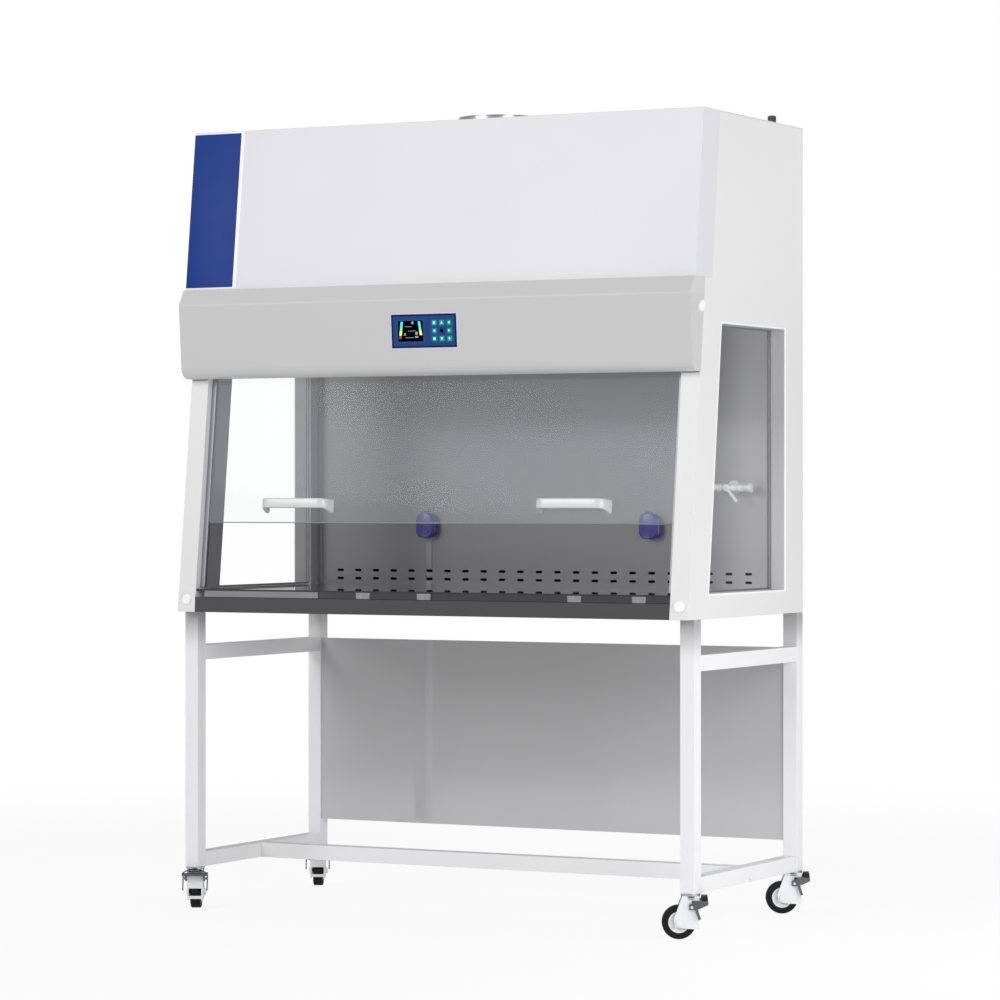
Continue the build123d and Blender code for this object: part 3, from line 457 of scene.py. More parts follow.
class Finishes:
    """Every finish of the cabinet, by the part it is for."""

    shell = PowderCoat("white_powder_coat", srgb(227, 227, 228), 0.42)
    cover = PowderCoat("cover_powder_coat", srgb(217, 217, 221), 0.36)
    # Painted highlight: a bright bead round each window's opening stands for the highlight on its edge.
    edge_highlight = PowderCoat("window_trim", srgb(250, 250, 251), 0.4)
    stand = PowderCoat("stand_powder_coat", srgb(238, 238, 240), 0.38)
    # Painted shade: the legs darken towards their tops, under the cabinet.
    leg = PowderCoat(
        "leg_powder_coat",
        srgb(238, 238, 240),
        0.38,
        painted_shade_drift=Drift(axis=2, start=0.60, end=0.705, low=1.0, high=0.45),
    )
    # Painted light and shade: it glows a little to even out its lit and shaded faces, and is darkened below
    # its upper bend so the bend's edge shows no line.
    fascia = PowderCoat(
        "grey_powder_coat",
        srgb(180, 180, 181),
        0.46,
        painted_light=0.33,
        painted_shade_drift=Drift(axis=2, start=1.4195, end=1.4225, low=0.93, high=1.0),
    )
    strip = Moulded("blue_strip", srgb(30, 62, 140), 0.4, shine=0.1)
    rim = Moulded("display_rim", srgb(212, 214, 226), 0.4)
    strip_edge = Moulded("strip_edge", srgb(248, 248, 252), 0.4)
    # Painted shade: a grey for strips put in the shadow under the control box and in the chamber's back
    # corners.
    shadow_strip = Moulded("painted_shadow_grey", srgb(132, 132, 135), 0.6)
    # Painted shade and light: darker towards the top, in the shade of the control box, and glowing only
    # towards the right end, for light that comes in through the right window.
    baffle = BrushedSteel(
        "stainless_wall",
        srgb(143, 143, 145),
        0.3,
        metallic=0.75,
        grain=(1.5, 1.5, 140.0),
        contrast=0.03,
        depth=0.0,
        swing=0.02,
        painted_light=0.7,
        painted_shade_drift=Drift(axis=2, start=1.10, end=1.32, low=1.0, high=0.61),
        painted_light_drift=Drift(axis=0, start=0.40, end=0.58, low=0.0, high=1.0),
    )
    # Painted light: the lining glows a little, for light thrown about in the chamber.
    lining = BrushedSteel(
        "stainless_lining", srgb(146, 146, 149), 0.34, grain=(6.0, 6.0, 900.0), metallic=0.7, painted_light=0.13
    )
    # Grey linings for the windows' recesses, a grey that is partly their own and partly painted shade;
    # shaded_jamb is a darker copy with more painted shade, for the left window.
    jamb = PowderCoat("grey_jamb", srgb(197, 197, 199), 0.45)
    shaded_jamb = PowderCoat("shaded_jamb", srgb(128, 128, 130), 0.45)
    tray = BrushedSteel("polished_worktop", srgb(100, 100, 102), 0.03, contrast=0.05, depth=0.0, swing=0.0)
    pan = BrushedSteel("drain_pan_steel", srgb(140, 140, 142), 0.38)
    # Painted light: the sheets under the worktop glow, standing for light that reaches that closed space
    # through the slit.
    side_plenum = BrushedSteel("side_plenum_steel", srgb(150, 150, 152), 0.5, painted_light=0.85, metallic=0.3)
    back_plenum = BrushedSteel("back_plenum_steel", srgb(88, 88, 91), 0.5, painted_light=0.7, metallic=0.3)
    beam = PowderCoat("dark_grey_paint", srgb(66, 66, 69), 0.6, gloss=0.02)
    rear_sheet = PowderCoat(
        "grey_back_sheet",
        srgb(186, 186, 188),
        peel=0.000004,
        gloss=1.0,
        gloss_index=2.1,
        gloss_roughness=0.03,
    )
    # Painted light: the feet glow so they show pale in the dark slit under the worktop.
    foot = Moulded("grey_foot", srgb(206, 206, 207), 0.5, painted_light=0.45)
    glass = Glass("sash_glass", srgb(232, 236, 240), 0.05, veil=0.06, edge=0.32, gloss=0.15)
    pane = Glass("side_pane", srgb(253, 254, 254), 0.04, veil=0.008, edge=0.05, gloss=0.1)
    glass_rim = Moulded("polished_glass_rim", srgb(128, 133, 134), 0.3, grain=0.0)
    handle = Moulded("white_handle", srgb(219, 219, 220), 0.3, gloss=0.5)
    cap = Moulded("white_cap", srgb(250, 250, 251), 0.38, gloss=0.2)
    aluminium = BrushedSteel("anodised_guide", srgb(160, 161, 164), grain=(900.0, 900.0, 6.0), metallic=0.6)
    zinc = BrushedSteel("zinc_plate", srgb(205, 206, 209), 0.3, grain=SPECKLED)
    fork = BrushedSteel("bright_fork", srgb(240, 241, 243), grain=SPECKLED, metallic=0.25, contrast=0.08)
    pedal = BrushedSteel("ribbed_pedal", srgb(120, 121, 124), 0.34, grain=SPECKLED)
    race = BrushedSteel("dark_race", srgb(64, 65, 68), 0.36, grain=SPECKLED)
    tyre = Moulded("black_rubber", srgb(9, 9, 10), 0.45, shine=0.3, grain=0.00012, scale=1400.0)
    hub = Moulded("grey_hub", srgb(232, 233, 235), 0.42)
    bezel = Moulded("display_blue", srgb(44, 70, 132), 0.4, shine=0.03)
    border = Moulded("display_border", srgb(20, 30, 80), 0.4, shine=0.03)
    screen = Moulded("screen_black", srgb(2, 2, 4), 0.3, shine=0.01, grain=0.0)
    keypad = Moulded("keypad_teal", srgb(28, 98, 134), 0.4, shine=0.03)
    key = Moulded("key_teal", srgb(58, 156, 176), 0.35, shine=0.05)
    key_dull = Moulded("key_green", srgb(54, 140, 152), 0.35, shine=0.05)
    key_dark = Moulded("key_violet", srgb(48, 66, 138), 0.35, shine=0.03)
    icon = Glow("key_mark", srgb(160, 222, 238), strength=0.45)
    icon_dark = Moulded("key_dark_mark", srgb(14, 6, 62), 0.4, shine=0.01)
    socket = Moulded("blue_socket", srgb(72, 70, 146), 0.34, gloss=0.2)
    socket_hole = Moulded("socket_dark_recess", srgb(24, 24, 40), 0.5)
    # Painted light: the conduit glows so its shaded side is no darker than the wall.
    conduit = Moulded("light_conduit", srgb(114, 114, 117), 0.45, painted_light=0.25)
    epoxy = PowderCoat("white_epoxy", srgb(236, 237, 238), 0.3, gloss=0.4)
    gland = Moulded("dark_nylon", srgb(70, 70, 74), 0.55)
    motor = PowderCoat("motor_paint", srgb(42, 42, 45), 0.5)
    # Painted shade: a black for the pad put behind the slots, where there is only the shade of the space
    # behind them.
    slot_shade = Moulded("slot_shade_black", srgb(3, 3, 3), 0.95, shine=0.05, grain=0.0003)
    media = Moulded("filter_paper", srgb(240, 239, 230), 0.9)
    lamp = Moulded("frosted_tube", srgb(244, 246, 248), 0.25, gloss=0.4)
    gasket = Moulded("grey_gasket", srgb(132, 133, 135), 0.7, shine=0.2)
    screw = BrushedSteel("screw_steel", srgb(200, 200, 203), 0.28, grain=(500.0, 500.0, 500.0))


# ------------------------------------------------------------------ surface helpers
def grid_faces(rows: int, columns: int, wrap_rows: bool, wrap_columns: bool) -> np.ndarray:
    """Quads over a grid of points stored row by row, wrapped where asked.

    Args:
        rows: Points along the first parameter.
        columns: Points along the second parameter.
        wrap_rows: Whether the last row joins the first.
        wrap_columns: Whether the last column joins the first.

    Returns:
        An array of faces with four point numbers each.
    """
    row = np.arange(rows if wrap_rows else rows - 1)
    column = np.arange(columns if wrap_columns else columns - 1)
    u, v = np.meshgrid(row, column, indexing="ij")
    u_next, v_next = (u + 1) % rows, (v + 1) % columns
    corners = (u * columns + v, u_next * columns + v, u_next * columns + v_next, u * columns + v_next)
    return np.stack([corner.ravel() for corner in corners], axis=1)


def new_piece(name: str, points: np.ndarray, faces: Sequence[Sequence[int]]) -> bpy.types.Object:
    """A mesh object at the origin, with its faces turned outwards and its corners kept crisp.

    Args:
        name: The piece's name.
        points: Its points, one row of x, y, z each.
        faces: Point numbers of each face.

    Returns:
        The new object, linked into the scene.
    """
    mesh = bpy.data.meshes.new(name)
    mesh.from_pydata(points.tolist(), [], faces)
    piece = bpy.data.objects.new(name, mesh)
    bpy.context.scene.collection.objects.link(piece)
    work = bmesh.new()
    work.from_mesh(mesh)
    bmesh.ops.remove_doubles(work, verts=work.verts, dist=1e-6)
    bmesh.ops.recalc_face_normals(work, faces=work.faces)
    work.to_mesh(mesh)
    work.free()
    mesh.polygons.foreach_set("use_smooth", np.ones(len(mesh.polygons), bool))
    mesh.set_sharp_from_angle(angle=CRISP_ANGLE)
    mesh.update()
    return piece


def dress(piece: bpy.types.Object, finish: Finish) -> bpy.types.Object:
    """Give a piece one finish all over."""
    piece.data.materials.clear()
    piece.data.materials.append(finish.material())
    return piece


def soften(piece: bpy.types.Object, width: float) -> None:
    """Round a piece's sharp edges with live modifiers, leaving its own mesh as it is.

    Args:
        piece: The piece.
        width: Radius of the rounding, metres.
    """
    weld = piece.modifiers.new("weld", "WELD")
    weld.merge_threshold = 2e-6
    flat = piece.modifiers.new("flat", "DECIMATE")
    flat.decimate_type, flat.angle_limit = "DISSOLVE", FLAT_ANGLE
    bevel = piece.modifiers.new("round", "BEVEL")
    bevel.width, bevel.segments = width, 2
    bevel.limit_method, bevel.angle_limit = "ANGLE", SHARP_ANGLE
    bevel.harden_normals = True


class Placed:
    """A right-handed frame: an origin and three unit directions."""

    def __init__(self, origin: Sequence[float], across: Sequence[float], up: Sequence[float]) -> None:
        """Set the frame from its origin, its x direction and its y direction."""
        self.origin = np.array(origin, float)
        self.across = np.array(across, float)
        self.up = np.array(up, float)
        self.out = np.cross(self.across, self.up)

    def carry(self, points: np.ndarray) -> np.ndarray:
        """Local x, y, z points as model points."""
        basis = np.stack([self.across, self.up, self.out])
        return self.origin + points @ basis

    def moved(self, across: float = 0.0, up: float = 0.0, out: float = 0.0) -> "Placed":
        """The same frame moved along its own directions."""
        origin = self.origin + across * self.across + up * self.up + out * self.out
        return Placed(origin, self.across, self.up)


def facing_front(origin: Sequence[float]) -> Placed:
    """A frame with x to the right, y up and z towards the front."""
    return Placed(origin, (1, 0, 0), (0, 0, 1))


def facing_back(origin: Sequence[float]) -> Placed:
    """A frame with x to the left, y up and z towards the back."""
    return Placed(origin, (-1, 0, 0), (0, 0, 1))


def facing_up(origin: Sequence[float]) -> Placed:
    """A frame with x to the right, y to the back and z up."""
    return Placed(origin, (1, 0, 0), (0, 1, 0))


def facing_side(origin: Sequence[float], side: int) -> Placed:
    """A frame with y up and z towards the left side, -1, or the right side, 1."""
    return Placed(origin, (0, side, 0), (0, 0, 1))


def reaches(side: int, near: float, far: float) -> list[float]:
    """Two reaches to one side of the middle, the lower first."""
    return sorted((side * near, side * far))


def tube_faces(rows: int, columns: int) -> list[list[int]]:
    """The faces of rows of closed loops, with one face over each end."""
    faces = grid_faces(rows, columns, False, True).tolist()
    first = list(range(columns))
    return [*faces, first[::-1], [(rows - 1) * columns + place for place in first]]


def folded(sections: Sequence[np.ndarray]) -> Part:
    """A bar whose section is a strip: one edge there and the other back, point for point.

    Args:
        sections: The section's model points at each station along the bar.

    Returns:
        Points and faces, with each end closed by a row of quads between the two edges.
    """
    count = len(sections[0])
    column = np.arange(count // 2 - 1)
    cap = np.stack([column, column + 1, count - 2 - column, count - 1 - column], 1)
    faces = grid_faces(len(sections), count, False, True).tolist()
    faces += cap.tolist() + (cap[:, ::-1] + (len(sections) - 1) * count).tolist()
    return np.concatenate(sections), faces


def lathe(profile: np.ndarray, place: Placed, steps: int = 48, closed: bool = False) -> Part:
    """A profile of (radius, height) points turned round the frame's third direction.

    Point (i, j) is (r_i cos t_j, r_i sin t_j, h_i) with t_j the j-th of equal angles.

    Args:
        profile: Radius and height of each profile point, from axis to axis unless closed.
        place: The frame to turn it in.
        steps: Angles round the turn.
        closed: Whether the profile's last point joins its first, for a ring.

    Returns:
        Points and faces.
    """
    turn = np.linspace(0.0, 2.0 * np.pi, steps, endpoint=False)
    radius, height = profile[:, :1], profile[:, 1:2]
    x = radius * np.cos(turn)
    y = radius * np.sin(turn)
    z = np.broadcast_to(height, x.shape)
    local = np.stack([x, y, z], axis=-1).reshape(-1, 3)
    return place.carry(local), grid_faces(len(profile), steps, closed, True).tolist()


def rod(place: Placed, radius: float, low: float, high: float, edge: float, steps: int = 24) -> Part:
    """A round bar along the frame's third direction, with both rims drawn in by an edge.

    Args:
        place: The frame.
        radius: The bar's radius.
        low: Where it starts along the third direction.
        high: Where it ends.
        edge: Width of its drawn-in rims.
        steps: Sides round it; six make a hexagon, such as a bolt's head.

    Returns:
        Points and faces.
    """
    profile = (
        (0.0, low),
        (radius - edge, low),
        (radius, low + edge),
        (radius, high - edge),
        (radius - edge, high),
        (0.0, high),
    )
    return lathe(np.array(profile), place, steps)


def bead(place: Placed, radius: float, thickness: float, height: float, steps: int = 64) -> Part:
    """A round-section ring: its profile is a circle of half the thickness about (radius, height).

    Args:
        place: The frame to turn it in.
        radius: From the frame's axis to the section's middle.
        thickness: Diameter of the section.
        height: Where the ring lies along the axis.
        steps: Steps round the ring.

    Returns:
        Points and faces.
    """
    turn = np.linspace(0.0, 2.0 * np.pi, 12, endpoint=False)
    circle = np.stack([radius + np.cos(turn) * thickness / 2.0, height + np.sin(turn) * thickness / 2.0], 1)
    return lathe(circle, place, steps, closed=True)


def rounded_rectangle(width: float, height: float, radius: float, steps: int = 6) -> np.ndarray:
    """A rectangle's outline with round corners, centred, counter-clockwise.

    Each corner is a quarter circle of the radius about its own centre.

    Args:
        width: Its width.
        height: Its height.
        radius: Radius of its corners.
        steps: Points on each corner.

    Returns:
        One row of x, y for each point.
    """
    angles = np.linspace(0.0, np.pi / 2.0, steps)
    outline = []
    for quarter, (sx, sy) in enumerate(((1, 1), (-1, 1), (-1, -1), (1, -1))):
        turned = angles + quarter * np.pi / 2.0
        centre = np.array([sx * (width / 2.0 - radius), sy * (height / 2.0 - radius)])
        outline.append(centre + radius * np.stack([np.cos(turned), np.sin(turned)], axis=1))
    return np.concatenate(outline)


def plate(outline: np.ndarray, place: Placed, low: float, high: float, edge: float) -> Part:
    """A flat plate with a softened rim: rings of the outline, the last drawn in by the edge.

    Ring k is the outline scaled towards its centre and raised to its own height.

    Args:
        outline: Local x, y outline.
        place: The plate's frame.
        low: Height of its back.
        high: Height of its face.
        edge: Width of the softened rim.

    Returns:
        Points and faces, closed by one face at each end.
    """
    centre = (outline.max(axis=0) + outline.min(axis=0)) / 2.0
    half = (outline.max(axis=0) - outline.min(axis=0)) / 2.0
    insets = ((0.0, low), (0.0, high - edge), (edge * 0.3, high - edge * 0.3), (edge, high))
    rings = []
    for inset, height in insets:
        shrunk = centre + (outline - centre) * (1.0 - inset / half)
        rings.append(np.column_stack([shrunk, np.full(len(outline), height)]))
    return place.carry(np.concatenate(rings)), tube_faces(len(rings), len(outline))


def ring(outer: np.ndarray, inner: np.ndarray, place: Placed, low: float, high: float, edge: float) -> Part:
    """A flat ring between two outlines of equally many points, with softened corners on its face.

    Its loops run up the outside, over the face and down the inside, and the last joins the first.

    Args:
        outer: Local x, y outline of its outside.
        inner: Local x, y outline of its hole, point for point.
        place: The ring's frame.
        low: Height of its back.
        high: Height of its face.
        edge: Width of the softened corners.

    Returns:
        Points and faces.
    """
    across = inner - outer
    step = across * edge / np.linalg.norm(across, axis=1, keepdims=True)
    loops = (
        (outer, low),
        (outer, high - edge),
        (outer + step, high),
        (inner - step, high),
        (inner, high - edge),
        (inner, low),
    )
    points = np.concatenate([np.column_stack([line, np.full(len(line), height)]) for line, height in loops])
    return place.carry(points), grid_faces(len(loops), len(outer), True, True).tolist()


def inset(outline: np.ndarray, distance: float) -> np.ndarray:
    """A convex counter-clockwise outline drawn in by a distance.

    Each side is moved inwards along its normal, and crossed with the side before it.
    """
    along = np.roll(outline, -1, axis=0) - outline
    along /= np.linalg.norm(along, axis=1, keepdims=True)
    base = outline + distance * np.stack([-along[:, 1], along[:, 0]], axis=1)
    before, along_before = np.roll(base, 1, axis=0), np.roll(along, 1, axis=0)
    gap = base - before
    turning = along_before[:, 0] * along[:, 1] - along_before[:, 1] * along[:, 0]
    reach = (gap[:, 0] * along[:, 1] - gap[:, 1] * along[:, 0]) / turning
    return before + along_before * reach[:, None]


def join(parts: Sequence[Part]) -> Part:
    """Several (points, faces) pairs as one."""
    points, faces, start = [], [], 0
    for some_points, some_faces in parts:
        points.append(some_points)
        faces.extend([[int(number) + start for number in face] for face in some_faces])
        start += len(some_points)
    return np.concatenate(points), faces


# ------------------------------------------------------------------ where things are
@dataclass(frozen=True)
class Layout:
    """The cabinet's main planes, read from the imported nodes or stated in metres.

    Attributes:
        lean: Lean of the front from upright, radians.
        foot_depth: Depth of the posts' feet from the back skin.
        underside: Height of the cabinet's underside.
        half_width: Half the width over the side walls.
        inner_half: Half the chamber's width.
        tray_top: Height of the worktop.
        window: Heights of the side windows' sills and heads.
        window_margin: From the back skin, and from the leaning front, to the windows.
        chin: Height of the control box's lower edge, and its reach in front of the leaning front.
        brow: The same for its upper bend.
        cover_reach: Reach of the upper cover in front of the leaning front.
    """

    lean: float = math.radians(6.6)
    foot_depth: float = 0.637
    underside: float = 0.702
    half_width: float = 0.660
    inner_half: float = 0.614
    tray_top: float = 0.756
    window: tuple[float, float] = (0.757, 1.359)
    window_margin: float = 0.103
    chin: tuple[float, float] = (1.249, 0.043)
    brow: tuple[float, float] = (1.421, 0.076)
    cover_reach: float = 0.050

    def y(self, depth: float) -> float:
        """The y at a depth in front of the back skin."""
        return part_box("rear_panel")[1][1] - depth

    def front(self, height: float) -> float:
        """The leaning front's depth at a height."""
        return self.foot_depth - math.tan(self.lean) * (height - self.underside)

    def slope(self, across: float, height: float, reach: float) -> Placed:
        """A frame parallel to the leaning front: x across, y up the slope, z outwards.

        Args:
            across: The x of its origin.
            height: The height of its origin.
            reach: How far the plane lies in front of the leaning front, measured level.
        """
        origin = (across, self.y(self.front(height) + reach), height)
        return Placed(origin, (1, 0, 0), (0, math.sin(self.lean), math.cos(self.lean)))

    def face(self, across: float, height: float, proud: float) -> Placed:
        """A frame on the control box's face: x across, y up the face, z outwards.

        Args:
            across: The x of its origin.
            height: The height of the point of the face that it stands over.
            proud: How far it stands off the face, square to it.
        """
        low = self.front(self.chin[0]) + self.chin[1]
        high = self.front(self.brow[0]) + self.brow[1]
        tilt = math.atan2(high - low, self.brow[0] - self.chin[0])
        depth = low + math.tan(tilt) * (height - self.chin[0])
        base = Placed((across, self.y(depth), height), (1, 0, 0), (0, -math.sin(tilt), math.cos(tilt)))
        return base.moved(out=proud)

    def side(self) -> Placed:
        """A frame for side outlines: local x is the model's y, local y its z, and z its x."""
        return facing_side((0, 0, 0), 1)

    def side_outline(self, low: float, high: float, back: float, setback: float) -> np.ndarray:
        """A side outline between two heights, from a depth to a setback behind the leaning front."""
        corners = (
            (self.y(self.front(low) - setback), low),
            (self.y(back), low),
            (self.y(back), high),
            (self.y(self.front(high) - setback), high),
        )
        return np.array(corners)

    def window_outline(self) -> np.ndarray:
        """The side windows' outline."""
        return self.side_outline(*self.window, self.window_margin, self.window_margin)


CABINET = "cabinet"


class Paint(str, Enum):
    """The record's material slots, one named with each new piece; nothing reads it, and the piece's finish
    comes from its Finish.
    """

    WHITE = "white_paint"
    COVER = "cover_white"
    BLUE = "display_blue"
    BLACK = "screen_black"
    TEAL = "key_teal"
    VIOLET = "key_violet"
    BRUSHED = "brushed_stainless"
    DARK = "dark_steel"
    CLEAR = "clear_glass"
    ALUMINIUM = "aluminium"
    PAPER = "filter_paper"
    ZINC = "zinc_plate"
    MOTOR = "motor_black"
    GASKET = "gland_grey"
    SOCKET = "socket_blue"
    PLASTIC = "white_plastic"
    EPOXY = "white_epoxy"
    RUBBER = "tyre_black"
    FOOT = "foot_grey"


def shown(name: str) -> bpy.types.Object:
    """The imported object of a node."""
    return bpy.data.objects[name]


@dataclass(frozen=True)
class Screws:
    """Pan-head screws with a cross recess.

    Attributes:
        radius: Radius of the head.
        height: Height of the head.
    """

    radius: float = 0.0042
    height: float = 0.0022

    def one(self, place: Placed) -> Part:
        """A head turned from its side outline, with four flutes pressed into its crown.

        The recess's rings are scaled by 0.58 where the cosine of four times the angle is under 0.2.
        """
        steps = 16
        share = np.array([1.0, 1.0, 0.92, 0.72, 0.5, 0.46, 0.16, 0.0])
        height = np.array([0.0, 0.35, 0.68, 0.92, 1.0, 0.62, 0.5, 0.5]) * self.height
        turn = np.linspace(0.0, 2.0 * np.pi, steps, endpoint=False)
        fluted = 1.0 - 0.42 * (np.cos(4.0 * turn) < 0.2)
        wave = np.where((share[:, None] < 0.48) & (share[:, None] > 0.0), fluted, 1.0)
        radius = share[:, None] * self.radius * wave
        rise = np.broadcast_to(height[:, None], radius.shape)
        local = np.stack([radius * np.cos(turn), radius * np.sin(turn), rise], -1)
        return place.carry(local.reshape(-1, 3)), grid_faces(len(share), steps, False, True).tolist()

    def many(self, places: Sequence[Placed]) -> list[Part]:
        """A head at each place."""
        return [self.one(place) for place in places]


# ------------------------------------------------------------------ sub-assemblies
@dataclass(frozen=True)
class Assembly:
    """A group of nodes and pieces that is dressed together.

    Each kind states its nodes' finishes in coats, and in rounded how far their edges are rounded.

    Attributes:
        layout: The cabinet's main planes.
    """

    coats = {}
    rounded = {}
    layout: Layout

    def dress_nodes(self) -> None:
        """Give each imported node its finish, and round the edges of those that need it."""
        for name, finish in self.coats.items():
            dress(shown(name), finish)
        for name, width in self.rounded.items():
            soften(shown(name), width)

    def add(
        self, name: str, parts: Sequence[Part], finish: Finish, paint: Paint, body: str = CABINET
    ) -> bpy.types.Object:
        """Make one piece of several closed parts, dress it and let it ride on a body.

        Args:
            name: The piece's name.
            parts: Points and faces of each part.
            finish: Its finish.
            paint: The record's slot that it takes after; not used.
            body: The body that carries it.

        Returns:
            The piece.
        """
        piece = dress(new_piece(name, *join(parts)), finish)
        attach(piece, body)
        LOG.info("%s: %d faces on %s", name, len(piece.data.polygons), body)
        return piece

    def build(self) -> None:
        """Dress the nodes and add the new pieces."""
        self.dress_nodes()
        self.add_pieces()
        LOG.info("%s done", type(self).__name__)

    def add_pieces(self) -> None:
        """Add the pieces that the nodes lack."""


@dataclass(frozen=True)
class Shell(Assembly):
    """Side walls, panes, back and roof.

    Attributes:
        pane: Reach of the panes' inner and outer faces.
        skin: Gap kept between a new piece and the face it lies on.
        screw_margin: From a sheet's edge to its screws.
        screw_spread: Half the width that the middle screws span.
        collar_radius: Radius of the spigot's tube.
        flange: Thickness of its flange.
    """

    coats = {
        "side_panel_left": Finishes.shell,
        "side_panel_right": Finishes.shell,
        "side_windows": Finishes.pane,
        "rear_panel": Finishes.shell,
        "roof_panel": Finishes.shell,
        "cap_knobs": Finishes.cap,
        "cable_gland": Finishes.gland,
        "exhaust_collar": Finishes.zinc,
    }
    rounded = {"side_panel_left": 2.2 * MM, "side_panel_right": 2.2 * MM}

    pane: tuple[float, float] = (0.618, 0.623)
    skin: float = 0.0001
    screw_margin: float = 0.014
    screw_spread: float = 0.44
    collar_radius: float = 0.094
    flange: float = 0.002

    def add_pieces(self) -> None:
        """Window trims and painted edge highlights on both sides, screws on the back and roof, and the
        collar's rim.
        """
        self.add_window_trims()
        self.add_screws()
        self.add_collar_rim()

    def add_window_trims(self) -> None:
        """A lining in each window's recess, a pale bead round it that paints the highlight on the opening's
        edge, and a gasket on both sides of its pane.
        """
        place, outline = self.layout.side(), self.layout.window_outline()
        inner, outer = self.pane[0] - self.skin, self.pane[1] + self.skin
        beads, gaskets = [], []
        # The left window's lining takes the darker grey with painted shade.
        for side, name, finish in ((-1, "left", Finishes.shaded_jamb), (1, "right", Finishes.jamb)):
            outside = reaches(side, outer, self.layout.half_width - 0.0025)
            lining = ring(inset(outline, 0.0002), inset(outline, 0.0012), place, *outside, 0.0002)
            self.add(f"window_lining_{name}", [lining], finish, Paint.WHITE)
            face = reaches(side, self.layout.half_width - 0.0030, self.layout.half_width + 0.0006)
            # Painted highlight: the pale bead round the opening stands for the highlight on its edge.
            beads.append(ring(inset(outline, -0.0042), inset(outline, 0.0002), place, *face, 0.0012))
            for near, far in ((outer, 0.0016), (inner, -0.0022)):
                span = reaches(side, near, near + far)
                gaskets.append(ring(inset(outline, 0.0013), inset(outline, 0.0048), place, *span, 0.0004))
        self.add("window_beads", beads, Finishes.edge_highlight, Paint.WHITE)
        self.add("window_gaskets", gaskets, Finishes.gasket, Paint.GASKET)

    def add_screws(self) -> None:
        """Pan-head screws round the back sheet and along the roof's edges."""
        screws, margin, spread = Screws(), self.screw_margin, self.screw_spread
        low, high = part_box("rear_panel")
        heights = np.linspace(low.z + margin, high.z - margin, 7)
        back = [(side * (high.x - margin), z) for side in SIDES for z in heights]
        back += [(x, z) for x in np.linspace(-spread, spread, 5) for z in (heights[0], heights[-1])]
        places = [facing_back((x, high.y, z)) for x, z in back]
        self.add("rear_panel_screws", screws.many(places), Finishes.screw, Paint.ZINC)
        low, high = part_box("roof_panel")
        rows = np.linspace(low.y + 0.05, high.y - margin, 4)
        roof = [(side * (high.x - margin), y) for side in SIDES for y in rows]
        roof += [(x, rows[-1]) for x in np.linspace(-spread, spread, 5)]
        places = [facing_up((x, y, high.z)) for x, y in roof]
        self.add("roof_screws", screws.many(places), Finishes.screw, Paint.ZINC)

    def add_collar_rim(self) -> None:
        """A rolled bead on the spigot's top, one halfway down, and screws through its flange."""
        low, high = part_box("exhaust_collar")
        x, y = (low.x + high.x) / 2.0, (low.y + high.y) / 2.0
        place = facing_up((x, y, 0.0))
        beads = [
            bead(place, self.collar_radius - 0.001, 0.0032, high.z - 0.0017, 96),
            bead(place, self.collar_radius, 0.0026, high.z - 0.012, 96),
        ]
        self.add("collar_beads", beads, Finishes.zinc, Paint.ZINC)
        bolt_circle = (self.collar_radius + high.x) / 2.0
        turns = np.arange(8) * math.pi / 4.0 + math.pi / 8.0
        flange = place.moved(out=low.z + self.flange)
        heads = [flange.moved(bolt_circle * math.cos(turn), bolt_circle * math.sin(turn)) for turn in turns]
        self.add("collar_screws", Screws().many(heads), Finishes.screw, Paint.ZINC)


@dataclass(frozen=True)
class Cover(Assembly):
    """The white cover over the upper front, with its bare blue strip.

    Attributes:
        strip_width: Width of the blue strip.
        border: Width of the pale backing that shows beside it.
    """

    coats = {"upper_front_cover": Finishes.cover}
    rounded = {"upper_front_cover": 0.7 * MM}

    strip_width: float = 0.128
    border: float = 0.010

    def add_pieces(self) -> None:
        """The blue strip on a pale backing at the cover's left end."""
        low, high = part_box("upper_front_cover")
        bottom, top = low.z + 0.0015, high.z - 0.0015
        slant = (top - bottom) / math.cos(self.layout.lean)
        backing_width = self.strip_width + self.border
        middle = (bottom + top) / 2.0
        for name, width, height, thickness, base, finish, paint in (
            ("strip_backing", backing_width, slant, 0.8 * MM, 0.0, Finishes.strip_edge, Paint.COVER),
            ("label_strip", self.strip_width, slant - 0.008, 0.6 * MM, 0.8 * MM, Finishes.strip, Paint.BLUE),
        ):
            place = self.layout.slope(low.x + 0.0008 + width / 2.0, middle, self.layout.cover_reach)
            outline = rounded_rectangle(width, height, 0.0012)
            self.add(name, [plate(outline, place, base, base + thickness, 0.0003)], finish, paint)


class Glyph(Enum):
    """Outlines of the marks on the keys, as corner points in key half-widths."""

    UP = ((-0.62, -0.42), (0.62, -0.42), (0.0, 0.58))
    DOWN = ((0.62, 0.42), (-0.62, 0.42), (0.0, -0.58))
    LEFT = ((0.42, -0.62), (0.42, 0.62), (-0.58, 0.0))
    RIGHT = ((-0.42, 0.62), (-0.42, -0.62), (0.58, 0.0))
    BLOCK = ((-0.5, -0.5), (0.5, -0.5), (0.5, 0.5), (-0.5, 0.5))
    DIAMOND = ((0.0, -0.55), (0.55, 0.0), (0.0, 0.55), (-0.55, 0.0))
    STOP = (
        *((-0.7, -0.35), (-0.35, -0.7), (0.35, -0.7), (0.7, -0.35)),
        *((0.7, 0.35), (0.35, 0.7), (-0.35, 0.7), (-0.7, 0.35)),
    )


